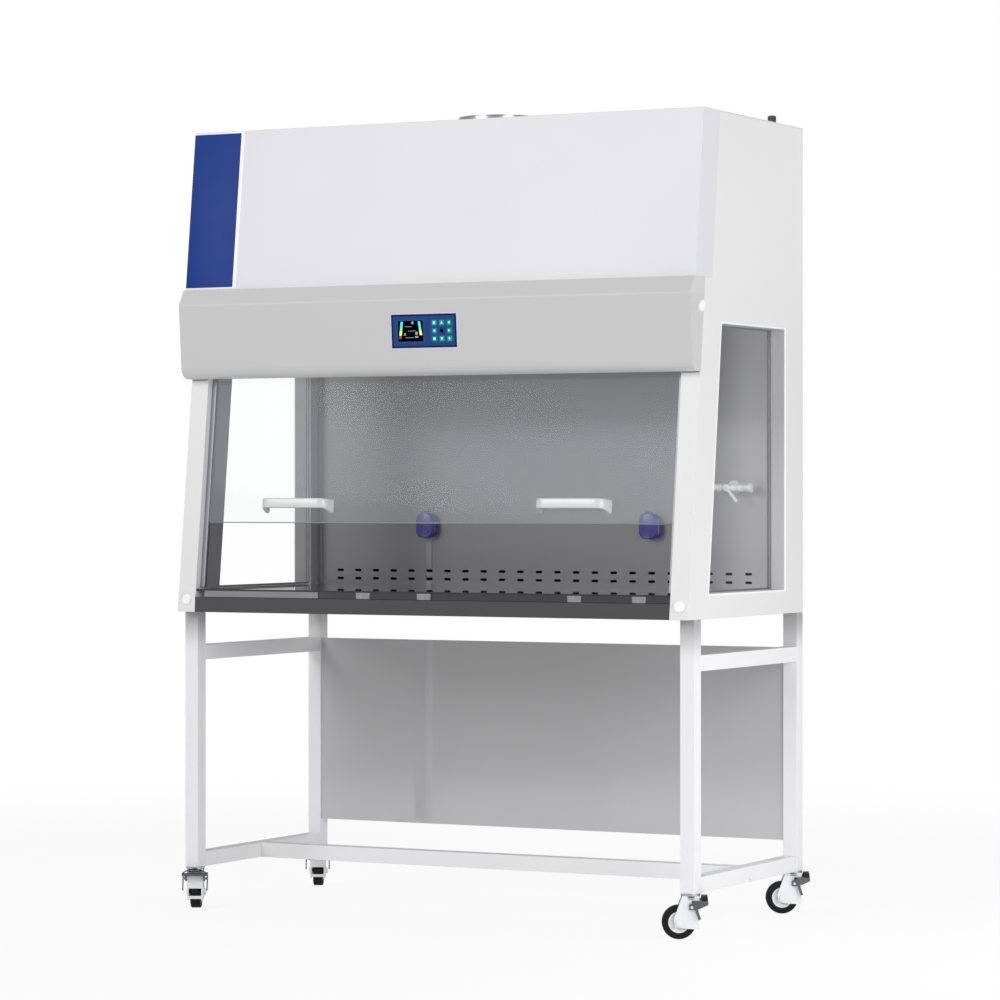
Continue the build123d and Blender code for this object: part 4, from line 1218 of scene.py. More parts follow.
@dataclass(frozen=True)
class ControlBox(Assembly):
    """The grey control box with its display and keys.

    Attributes:
        glyphs: The mark on each key, row by row from the top left.
        middle_key: The key with the dark mark.
        display_across: Place of the display's middle across the cabinet.
        display_height: Height of its middle.
        bezel_size: Width and height of the bezel.
        bezel_proud: How far it stands off the box's face.
        key_centre: The keypad's middle, across from the display's.
        key_pitch: Spacing of the keys, across and up.
        key_size: Side of a key.
        key_proud: How far the keys stand off the box's face.
        screen_centre: The screen's middle, across from the display's.
        screen_size: Width and height of the screen.
        screen_proud: How far it stands off the box's face.
    """

    glyphs: tuple[Glyph, ...] = (
        Glyph.BLOCK,
        Glyph.UP,
        Glyph.DIAMOND,
        Glyph.LEFT,
        Glyph.STOP,
        Glyph.RIGHT,
        Glyph.BLOCK,
        Glyph.DOWN,
        Glyph.DIAMOND,
    )
    middle_key: int = 5
    coats = {
        "control_fascia": Finishes.fascia,
        "display_bezel": Finishes.bezel,
        "display_screen": Finishes.screen,
        **{f"key_{n}": Finishes.key_dull if n in (3, 4, 6, 7) else Finishes.key for n in range(1, 10)},
        "key_5": Finishes.key_dark,
    }
    rounded = {f"key_{n}": 0.5 * MM for n in range(1, 10)}

    display_across: float = -0.006
    display_height: float = 1.349
    bezel_size: tuple[float, float] = (0.168, 0.076)
    bezel_proud: float = 1.0 * MM
    key_centre: float = 0.0466
    key_pitch: tuple[float, float] = (0.0193, 0.0182)
    key_size: float = 0.012
    key_proud: float = 1.8 * MM
    screen_centre: float = -0.0346
    screen_size: tuple[float, float] = (0.0655, 0.0474)
    screen_proud: float = 0.4 * MM

    def at(self, across: float, up: float, proud: float) -> Placed:
        """A frame on the display: across and up from its middle, and off the box's face."""
        return self.layout.face(self.display_across, self.display_height, proud).moved(across, up)

    def add_pieces(self) -> None:
        """The display's rims, keypad, marks and screen content, and the shadow line under the box."""
        self.add_rims()
        self.add_keypad()
        self.add_screen_content()
        self.add_chin_shadows()

    def add_rims(self) -> None:
        """A pale bead round the display and a dark border on its edge."""
        width, height = self.bezel_size
        place = self.at(0.0, 0.0, 0.0)
        pale = ring(
            rounded_rectangle(width + 0.007, height + 0.007, 0.004),
            rounded_rectangle(width + 0.0004, height + 0.0004, 0.0008),
            place,
            0.0,
            0.9 * MM,
            0.4 * MM,
        )
        self.add("display_pale_rim", [pale], Finishes.rim, Paint.COVER)
        dark = ring(
            rounded_rectangle(width - 0.0004, height - 0.0004, 0.0010),
            rounded_rectangle(width - 0.0070, height - 0.0070, 0.0030),
            self.at(0.0, 0.0, self.bezel_proud),
            0.0,
            0.25 * MM,
            0.1 * MM,
        )
        self.add("display_border", [dark], Finishes.border, Paint.BLUE)
        inner = ring(
            rounded_rectangle(self.screen_size[0] + 0.006, self.screen_size[1] + 0.006, 0.002),
            rounded_rectangle(self.screen_size[0] + 0.0002, self.screen_size[1] + 0.0002, 0.0004),
            self.at(self.screen_centre, 0.0, self.bezel_proud),
            0.0,
            0.2 * MM,
            0.08 * MM,
        )
        self.add("screen_surround", [inner], Finishes.keypad, Paint.BLUE)

    def add_keypad(self) -> None:
        """A teal field with a hole for each key, and a mark on each key that moves with it."""
        across_pitch, up_pitch = self.key_pitch
        hole = rounded_rectangle(self.key_size + 0.0008, self.key_size + 0.0008, 0.0006)
        cell = rounded_rectangle(across_pitch - 0.0002, up_pitch - 0.0002, 0.0010)
        fields = []
        for number in range(9):
            across = self.key_centre + (number % 3 - 1) * across_pitch
            up = (1 - number // 3) * up_pitch
            key = number + 1
            if key != self.middle_key:
                base = self.at(across, up, self.bezel_proud)
                fields.append(ring(cell, hole, base, 0.0, 0.2 * MM, 0.08 * MM))
            corners = np.array(self.glyphs[number].value) * self.key_size / 2.0
            mark = plate(corners, self.at(across, up, self.key_proud), 0.0, 0.15 * MM, 0.05 * MM)
            finish = Finishes.icon_dark if key == self.middle_key else Finishes.icon
            paint = Paint.VIOLET if key == self.middle_key else Paint.TEAL
            self.add(f"key_mark_{key}", [mark], finish, paint, f"key_{key}")
        self.add("keypad_field", fields, Finishes.keypad, Paint.TEAL)

    def add_screen_content(self) -> None:
        """Two slanting level bars in four colours, and pale figures and lines between them."""
        half_width, half_height = self.screen_size[0] / 2.0, self.screen_size[1] / 2.0
        bands = (
            ("bar_cyan", srgb(60, 190, 190), 0.28, 0.98),
            ("bar_green", srgb(110, 200, 120), 0.02, 0.28),
            ("bar_yellow", srgb(214, 222, 120), -0.42, 0.02),
            ("bar_red", srgb(150, 30, 40), -0.78, -0.42),
        )
        place = self.at(self.screen_centre, 0.0, self.screen_proud)
        lean, bar_width, share = 0.10, 0.20, 0.93
        for name, colour, low, high in bands:
            parts = []
            for side in SIDES[:1] if name == "bar_red" else SIDES:
                outer = 0.90 + lean * (0.3 - np.array([low, high]))
                inner = outer - bar_width
                corners = np.array([[inner[0], low], [outer[0], low], [outer[1], high], [inner[1], high]])
                corners *= (side * half_width * share, half_height * share)
                parts.append(plate(corners, place, 0.0, 0.12 * MM, 0.03 * MM))
            self.add(f"screen_{name}", parts, Glow(name, colour, strength=0.9), Paint.BLACK)
        figures = (
            (0.16, 0.80, 0.16, 0.26),
            (-0.18, 0.44, 0.52, 0.05),
            (0.10, 0.02, 0.62, 0.04),
            (-0.46, -0.30, 0.13, 0.24),
            (0.46, -0.22, 0.20, 0.30),
            (0.46, -0.56, 0.26, 0.16),
            (-0.10, -0.62, 0.66, 0.05),
        )
        parts = []
        for across, up, width, height in figures:
            size = (width * half_width, height * half_height)
            outline = rounded_rectangle(*size, min(size) * 0.3, 4) + (across * half_width, up * half_height)
            parts.append(plate(outline, place, 0.0, 0.12 * MM, 0.03 * MM))
        pale = Glow("pale_figure", srgb(130, 138, 158), strength=0.45)
        self.add("screen_figures", parts, pale, Paint.BLACK)

    def add_chin_shadows(self) -> None:
        """A dark strip between each post and the box's lower edge: painted shadow in the gap there."""
        width = self.layout.half_width - self.layout.inner_half - 0.004
        middle = (self.layout.half_width + self.layout.inner_half) / 2.0
        strips = []
        for side in SIDES:
            # Painted shadow: the strip stands for the shadow in the gap under the box.
            place = self.layout.slope(side * middle, self.layout.chin[0] - 0.0016, 0.0)
            strips.append(plate(rounded_rectangle(width, 0.0022, 0.0009), place, 0.0, 0.0012, 0.0004))
        self.add("chin_strips", strips, Finishes.shadow_strip, Paint.GASKET)


@dataclass(frozen=True)
class Chamber(Assembly):
    """Back wall, worktop, pan, beam, feet, ceiling and lamp.

    Attributes:
        baffle_front: Depth of the back wall's face from the back skin.
        ceiling_height: Height of the ceiling.
        foot_places: Where the worktop's feet stand across the cabinet.
        folds: Points across the pleated media.
        fold_depth: Depth of each fold.
    """

    coats = {
        "rear_baffle": Finishes.baffle,
        "ceiling_panel": Finishes.shell,
        "work_tray": Finishes.tray,
        "drain_pan": Finishes.pan,
        "front_beam": Finishes.beam,
        "lamp_housing": Finishes.shell,
        "lamp_tubes": Finishes.lamp,
        "sash_guides": Finishes.aluminium,
    }
    rounded = {"front_beam": 1.6 * MM}

    baffle_front: float = 0.064
    ceiling_height: float = 1.400
    foot_places: tuple[float, ...] = (-0.367, -0.200, 0.200, 0.367)
    folds: int = 161
    fold_depth: float = 0.010

    def add_pieces(self) -> None:
        """Stainless linings, a black pad behind the slots that paints their shade, pleated media and the
        lamps' ends.
        """
        self.add_linings()
        self.add_plenum()
        self.add_feet()
        self.add_filter()
        self.add_lamp_ends()

    def add_linings(self) -> None:
        """A stainless sheet on each side wall round its window, and a dark angle down each back corner that
        paints the shade in the corner.
        """
        layout = self.layout
        clear, setback = 0.0006, 0.036
        low, high = layout.tray_top + clear, self.ceiling_height - clear
        outer = layout.side_outline(low, high, self.baffle_front + clear, setback)
        hole = inset(layout.window_outline(), -0.001)
        sheets, angles = [], []
        middle = facing_front((0.0, layout.y(self.baffle_front), (low + high) / 2.0))
        height = self.ceiling_height - layout.tray_top - 0.002
        for side in SIDES:
            span = reaches(side, layout.inner_half - 0.0001, layout.inner_half - 0.0008)
            sheets.append(ring(outer, hole, layout.side(), *span, 0.0002))
            # Painted shade: the dark angle stands for the shade in the back corner.
            place = middle.moved(side * (layout.inner_half - 0.006))
            angles.append(plate(rounded_rectangle(0.010, height, 0.001), place, 0.0001, 0.0022, 0.0006))
        self.add("side_linings", sheets, Finishes.lining, Paint.BRUSHED)
        self.add("corner_shadow_angles", angles, Finishes.shadow_strip, Paint.DARK)

    def add_plenum(self) -> None:
        """Thin sheets on the sides and back of the space under the worktop, which glow with painted light,
        and a black pad behind the slots, which paints the shade behind them.
        """
        layout = self.layout
        low, high = layout.underside + 0.003, layout.tray_top - 0.0045
        outline = layout.side_outline(low, high, self.baffle_front + 0.003, 0.040)
        # Painted light: these sheets glow by their finish.
        sides = []
        for side in SIDES:
            span = reaches(side, layout.inner_half - 0.0001, layout.inner_half - 0.0007)
            sides.append(plate(outline, layout.side(), *span, 0.0002))
        self.add("plenum_side_sheets", sides, Finishes.side_plenum, Paint.BRUSHED)
        wide = 2.0 * layout.inner_half - 0.004
        place = facing_front((0.0, layout.y(self.baffle_front), (low + high) / 2.0))
        back = plate(rounded_rectangle(wide, high - low, 0.001), place, 0.0001, 0.0008, 0.0002)
        self.add("plenum_back_sheet", [back], Finishes.back_plenum, Paint.BRUSHED)
        # Painted shade: the black pad behind the slots.
        pad_place = facing_front((0.0, layout.y(0.0605), layout.tray_top + 0.025))
        pad = plate(rounded_rectangle(wide, 0.044, 0.003), pad_place, 0.0, 0.0012, 0.0004)
        self.add("slot_shade_pad", [pad], Finishes.slot_shade, Paint.MOTOR)

    def add_feet(self) -> None:
        """Moulded feet under the worktop that widen upwards, each with a rib across its front."""
        low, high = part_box("tray_feet")
        rise = high.z - low.z
        outline = np.array([[-0.0090, 0.0], [0.0090, 0.0], [0.0128, rise], [-0.0128, rise]])
        feet = []
        for across in self.foot_places:
            place = facing_front((across, high.y, low.z))
            feet.append(plate(outline, place, 0.0050, high.y - low.y - 0.0050, 0.0015))
            rib = facing_front((across, high.y, low.z + rise / 2.0))
            feet.append(plate(rounded_rectangle(0.006, rise - 0.012, 0.002), rib, 0.0300, 0.0338, 0.001))
        # Painted light: the feet's finish glows.
        made = self.add("worktop_feet", feet, Finishes.foot, Paint.FOOT)
        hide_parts("tray_feet")

    def add_filter(self) -> None:
        """Pleated media in place of the plain block: folds whose depth alternates across the width.

        Point (i, j, k) is (x_i, y_j, z) where z is the low or high face moved in by the fold on odd i.
        """
        low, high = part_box("exhaust_filter_media")
        x = np.linspace(low.x, high.x, self.folds)
        fold = np.where(np.arange(self.folds) % 2 == 1, self.fold_depth, 0.0)
        bottom, top = low.z + 0.001 + fold, high.z - 0.001 - fold
        section = np.concatenate([np.stack([x, bottom], 1), np.stack([x, top], 1)[::-1]])
        across, height = section.T
        ends = [np.column_stack([across, np.full(len(section), y), height]) for y in (low.y, high.y)]
        media = self.add("filter_pleats", [folded(ends)], Finishes.media, Paint.PAPER)
        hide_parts("exhaust_filter_media")

    def add_lamp_ends(self) -> None:
        """A metal cap and a holder at both ends of each tube."""
        low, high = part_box("lamp_tubes")
        radius = (high.z - low.z) / 2.0
        caps, holders = [], []
        for y in (low.y + radius, high.y - radius):
            for side in SIDES:
                place = facing_side((side * high.x, y, (low.z + high.z) / 2.0), side)
                caps.append(rod(place, radius + 0.0005, -0.030, -0.007, 0.0008, 32))
                holders.append(rod(place, radius + 0.0018, -0.007, -0.0002, 0.0012, 32))
        self.add("lamp_caps", caps, Finishes.zinc, Paint.ALUMINIUM)
        self.add("lamp_holders", holders, Finishes.epoxy, Paint.PLASTIC)


@dataclass(frozen=True)
class Services(Assembly):
    """Sockets, conduit and cock on the back wall. Heights count from a lid's lowest point.

    Attributes:
        socket_size: Width of a socket's cover, and the height of its top.
        foot_rise: Height of its lower edge.
        slot_rows: Heights of the air slots' rows over the worktop.
        slot_half: Half a slot's height, with some room.
        corner: Radius of the cover's lower corners.
        hole_radius: Radius of the socket's opening.
        hole_rise: Height of its middle.
        body_depth: How far the housing stands off the wall.
        pin_drop: How far the hinge's pin lies under the lid's top.
        pin_reach: How far the pin lies off the wall.
        lid_span: How far the lid's back and face lie off the wall.
        knuckle_radius: Radius of the hinge's knuckle.
        knuckle_half: Half its length.
        duct_edge: How far the conduit's cover lies off the wall at its edges and its face.
    """

    coats = {
        "socket_bodies": Finishes.socket,
        "socket_lid_left": Finishes.socket,
        "socket_lid_right": Finishes.socket,
        "socket_conduit": Finishes.conduit,
        "service_cock": Finishes.epoxy,
        "cock_lever": Finishes.epoxy,
    }
    rounded = {"cock_lever": 1.0 * MM}

    socket_size: tuple[float, float] = (0.046, 0.0655)
    foot_rise: float = 0.003
    slot_rows: tuple[float, float] = (0.015, 0.035)
    slot_half: float = 0.0034
    corner: float = 0.0165
    hole_radius: float = 0.019
    hole_rise: float = 0.027
    body_depth: float = 0.0128
    pin_drop: float = 0.004
    pin_reach: float = 0.0164
    lid_span: tuple[float, float] = (0.0148, 0.0284)
    knuckle_radius: float = 0.0032
    knuckle_half: float = 0.009
    duct_edge: tuple[float, float] = (0.0020, 0.0026)

    def add_pieces(self) -> None:
        """Round-cornered socket bodies and lids, and rings on the cock."""
        bodies, floors = [], []
        wall = self.layout.y(Chamber.baffle_front)
        for name, side in (("left", -1), ("right", 1)):
            low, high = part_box(f"socket_lid_{name}")
            place = facing_front(((low.x + high.x) / 2.0, wall, low.z + self.hole_rise))
            hole = self.circle(self.hole_radius)
            bodies.append(ring(self.outline(0.0), hole, place, 0.0002, self.body_depth, 0.0014))
            floors.append(plate(self.circle(self.hole_radius + 0.0004), place, 0.0002, 0.0040, 0.0004))
            pins = self.circle(0.0095, 3)
            for across, up in pins:
                floors.append(rod(place.moved(across, up), 0.0024, 0.0038, 0.0052, 0.0005, 16))
            self.add_lid(name, place, high.z)
        made = self.add("socket_housings", bodies, Finishes.socket, Paint.SOCKET)
        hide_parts("socket_bodies")
        self.add("socket_recesses", floors, Finishes.socket_hole, Paint.SOCKET)
        self.add_duct()
        self.add_cock_rings()

    def circle(self, radius: float, steps: int = 48) -> np.ndarray:
        """A circle's outline, its first point on the local x axis."""
        turn = np.linspace(0.0, 2.0 * np.pi, steps, endpoint=False)
        return radius * np.stack([np.cos(turn), np.sin(turn)], 1)

    def outline(self, inwards: float) -> np.ndarray:
        """The cover's outline about the hole's centre: a domed top over a body with round lower corners.

        Each ray at angle t runs out to the nearer of the straight sides, the dome and the round corners; the
        point is found by halving along every ray at once.
        """
        turn = np.linspace(0.0, 2.0 * np.pi, 48, endpoint=False)
        ray = np.stack([np.cos(turn), np.sin(turn)], 1)
        half, radius = self.socket_size[0] / 2.0, self.corner
        low, high = self.foot_rise - self.hole_rise, self.socket_size[1] - self.hole_rise
        inner, outer = np.zeros(len(turn)), np.full(len(turn), 0.06)
        for _ in range(24):
            reach = (inner + outer) / 2.0
            x, y = np.abs(ray[:, 0] * reach), ray[:, 1] * reach
            past_side, past_foot = np.maximum(x - half + radius, 0.0), np.maximum(low + radius - y, 0.0)
            round_corner = np.hypot(past_side, past_foot) <= radius
            dome = np.hypot(x / half, np.maximum(y - high + half, 0.0) / half) <= 1.0
            inside = round_corner & dome & (y >= low)
            inner, outer = np.where(inside, reach, inner), np.where(inside, outer, reach)
        return ray * (inner - inwards)[:, None]

    def add_lid(self, name: str, place: Placed, top: float) -> None:
        """A lid with two raised rings and a finger lip, and its hinge's knuckle with two ears."""
        low, high = self.lid_span
        lid = plate(self.outline(0.0004), place, low, high, 0.0034)
        rings = [bead(place, 0.0165, 0.0022, high, 48), bead(place, 0.0085, 0.0016, high, 36)]
        lip = place.moved(up=0.0065 - self.hole_rise)
        rings.append(plate(rounded_rectangle(0.018, 0.005, 0.0022), lip, high - 0.003, high + 0.0012, 0.001))
        hinge = place.moved(up=top - self.pin_drop - place.origin[2], out=self.pin_reach)
        pin = facing_side(hinge.origin, 1)
        knuckle = rod(pin, self.knuckle_radius, -self.knuckle_half, self.knuckle_half, 0.0006, 24)
        neck = hinge.moved(up=-0.006)
        tongue = plate(rounded_rectangle(1.7 * self.knuckle_half, 0.012, 0.001), neck, 0.0, 0.0028, 0.0006)
        parts = [lid, *rings, knuckle, tongue]
        made = self.add(f"socket_cover_{name}", parts, Finishes.socket, Paint.SOCKET, f"lid_{name}")
        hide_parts(f"socket_lid_{name}")

    def add_duct(self) -> None:
        """The conduit as a low cover tucked under the left socket, cut where it crosses the air slots."""
        low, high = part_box("socket_conduit")
        rows = [self.layout.tray_top + rise for rise in self.slot_rows]
        cuts = [row + edge for row in rows for edge in (-self.slot_half, self.slot_half)]
        ends = [low.z, *cuts, high.z + self.foot_rise + 0.0004]
        ducts = []
        for bottom, top in zip(ends[::2], ends[1::2]):
            centre = ((low.x + high.x) / 2.0, self.layout.y(Chamber.baffle_front), (bottom + top) / 2.0)
            outline = rounded_rectangle(high.x - low.x, top - bottom, 0.0008)
            edge, face = self.duct_edge
            ducts.append(plate(outline, facing_front(centre), 0.0002, face, edge))
        made = self.add("socket_duct", ducts, Finishes.conduit, Paint.PLASTIC)
        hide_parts("socket_conduit")

    def add_cock_rings(self) -> None:
        """Four turned rings on the cock's barrel."""
        low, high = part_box("service_cock")
        along = facing_side((0.0, low.y + 0.0165, (low.z + high.z) / 2.0), 1)
        spots = (low.x + 0.012, low.x + 0.018, high.x - 0.030, high.x - 0.014)
        rings = [bead(along, 0.0092, 0.0016, x, 32) for x in spots]
        self.add("cock_rings", rings, Finishes.epoxy, Paint.EPOXY)


@dataclass(frozen=True)
class Sash(Assembly):
    """The sliding glass and its handles. Reaches count from the glass's mid-plane.

    Attributes:
        thickness: Thickness of the glass.
        handle_across: Place of a handle's middle across the cabinet.
        handle_rise: Its height up the glass.
        grip_height: Height of the bar.
        grip_section: The bar's thickness, and the radius of its edges.
        foot_across: Half the distance between a handle's feet.
        bend_corner: Place and reach of the corner that a foot and the bar would make.
        bend: How far the bend runs from that corner.
        foot_drop: How much deeper the feet are than the bar, on the glass.
        taper: The reach where a foot starts to deepen, and the run over which it does.
    """

    coats = {"sash_glass": Finishes.glass, "sash_handles": Finishes.handle}

    thickness: float = 0.005
    handle_across: float = 0.358
    handle_rise: float = 0.043
    grip_height: float = 0.023
    grip_section: tuple[float, float] = (0.012, 0.0036)
    foot_across: float = 0.086
    bend_corner: tuple[float, float] = (0.0795, 0.0345)
    bend: float = 0.018
    foot_drop: float = 0.009
    taper: tuple[float, float] = (0.0285, 0.026)

    def add_pieces(self) -> None:
        """A polished rim along the glass's lower edge, and the two handles with rounded bends."""
        low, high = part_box("sash_glass")
        lean = self.layout.lean
        slope_up = np.array([0.0, math.sin(lean), math.cos(lean)])
        half = self.thickness / 2.0
        bottom = (0.0, low.y + half * math.cos(lean), low.z + half * math.sin(lean))
        place = Placed(bottom, (1, 0, 0), slope_up)
        rim = plate(
            rounded_rectangle(high.x - low.x, 0.0018, 0.0006) + (0.0, 0.0009),
            place,
            -half - 0.0001,
            half + 0.0001,
            0.0003,
        )
        self.add("sash_lower_rim", [rim], Finishes.glass_rim, Paint.CLEAR, "sash")
        spots = [place.moved(side * self.handle_across, self.handle_rise) for side in SIDES]
        grips = [self.grip(spot, half) for spot in spots]
        made = self.add("sash_grips", grips, Finishes.handle, Paint.PLASTIC, "sash")
        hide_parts("sash_handles")

    def grip(self, place: Placed, base: float) -> Part:
        """A bridge handle: a round-edged bar swept along a U off the glass, deeper at its feet.

        Each bend's middle is (1-t)^2 P + 2t(1-t) C + t^2 Q about its corner C. Section point (a, b) stands a
        across the way from the middle and b h / h0 - (h - h0) / 2 up, with h the height at that reach.

        Args:
            place: The handle's middle on the glass's mid-plane: x along it, y up the glass.
            base: How far its feet stand off the mid-plane.
        """
        foot, corner = np.array([self.foot_across, base]), np.array(self.bend_corner)
        leg = (foot - corner) / np.linalg.norm(foot - corner)
        start, stop = corner + self.bend * leg, corner - (self.bend, 0.0)
        turn = np.linspace(0.0, 1.0, 12)[:, None]
        bend = (1.0 - turn) ** 2 * start + 2.0 * turn * (1.0 - turn) * corner + turn**2 * stop
        half = np.vstack([foot, bend])
        middle = np.vstack([half, half[::-1] * (-1.0, 1.0)])
        way = np.gradient(middle, axis=0)
        way[0], way[-1] = (0.0, 1.0), (0.0, -1.0)
        way /= np.linalg.norm(way, axis=1, keepdims=True)
        bar, run = self.taper
        height = self.grip_height + self.foot_drop * np.clip((bar - middle[:, 1]) / run, 0.0, 1.0)
        width, radius = self.grip_section
        outline = rounded_rectangle(width, self.grip_height, radius)
        aside = np.stack([way[:, 1], -way[:, 0]], 1)
        across = middle[:, None, :] + outline[:, 0, None] * aside[:, None, :]
        stretch, drop = height / self.grip_height, (height - self.grip_height) / 2.0
        rise = outline[:, 1] * stretch[:, None] - drop[:, None]
        points = np.stack([across[..., 0], rise, across[..., 1]], axis=-1).reshape(-1, 3)
        return place.carry(points), tube_faces(len(middle), len(outline))


@dataclass(frozen=True)
class Exhaust(Assembly):
    """Filter, blower and motor behind the cover."""

    coats = {
        "exhaust_filter_frame": Finishes.aluminium,
        "exhaust_filter_media": Finishes.media,
        "blower_housing": Finishes.zinc,
        "blower_motor": Finishes.motor,
        "blower_impeller": Finishes.zinc,
    }

    def add_pieces(self) -> None:
        """Cooling fins round the motor."""
        low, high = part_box("blower_motor")
        middle = facing_side((0.0, (low.y + high.y) / 2.0, (low.z + high.z) / 2.0), 1)
        fins = [bead(middle, 0.0455, 0.0024, x, 48) for x in np.arange(0.112, 0.196, 0.007)]
        self.add("motor_fins", fins, Finishes.motor, Paint.MOTOR)


@dataclass(frozen=True)
class Stand(Assembly):
    """The tube stand and its back sheet.

    Attributes:
        tube: Width of the stand's tubes.
    """

    coats = {
        "stand_legs": Finishes.leg,
        "stand_side_rails": Finishes.stand,
        "stand_crossbar": Finishes.stand,
        "stand_rear_panel": Finishes.rear_sheet,
    }
    rounded = {"stand_legs": 3.0 * MM, "stand_side_rails": 2.4 * MM, "stand_crossbar": 2.4 * MM}

    tube: float = 0.035

    def add_pieces(self) -> None:
        """Bolts on the crossbar's ends, weld beads at the joints and screws in the back sheet."""
        rails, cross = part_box("stand_side_rails"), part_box("stand_crossbar")
        middle = (cross[0].y + cross[1].y) / 2.0
        bolts = []
        for side in SIDES:
            place = facing_side((side * rails[1].x, middle, cross[0].z + 0.0065), side)
            bolts.append(rod(place, 0.0042, 0.0, 0.0030, 0.0006, 6))
            bolts.append(rod(place, 0.0056, 0.0, 0.0010, 0.0003, 24))
        self.add("stand_bolts", bolts, Finishes.fork, Paint.ZINC)
        welds = []
        for side in SIDES:
            for height in (rails[0].z, rails[1].z - self.tube):
                for y in (rails[0].y, rails[1].y):
                    for x in (rails[1].x - 0.0004, rails[1].x - self.tube + 0.0004):
                        foot = facing_up((side * x, y, height + 0.002))
                        welds.append(rod(foot, 0.0013, 0.0, self.tube - 0.004, 0.0006, 10))
        self.add("stand_welds", welds, Finishes.stand, Paint.WHITE)
        low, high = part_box("stand_rear_panel")
        heights = np.linspace(low.z + 0.02, high.z - 0.02, 3)
        spots = [(side * (high.x - 0.012), z) for side in SIDES for z in heights]
        places = [facing_back((x, high.y, z)) for x, z in spots]
        self.add("back_sheet_screws", Screws().many(places), Finishes.screw, Paint.ZINC)


CASTERS = ("left_front", "left_rear", "right_front", "right_rear")


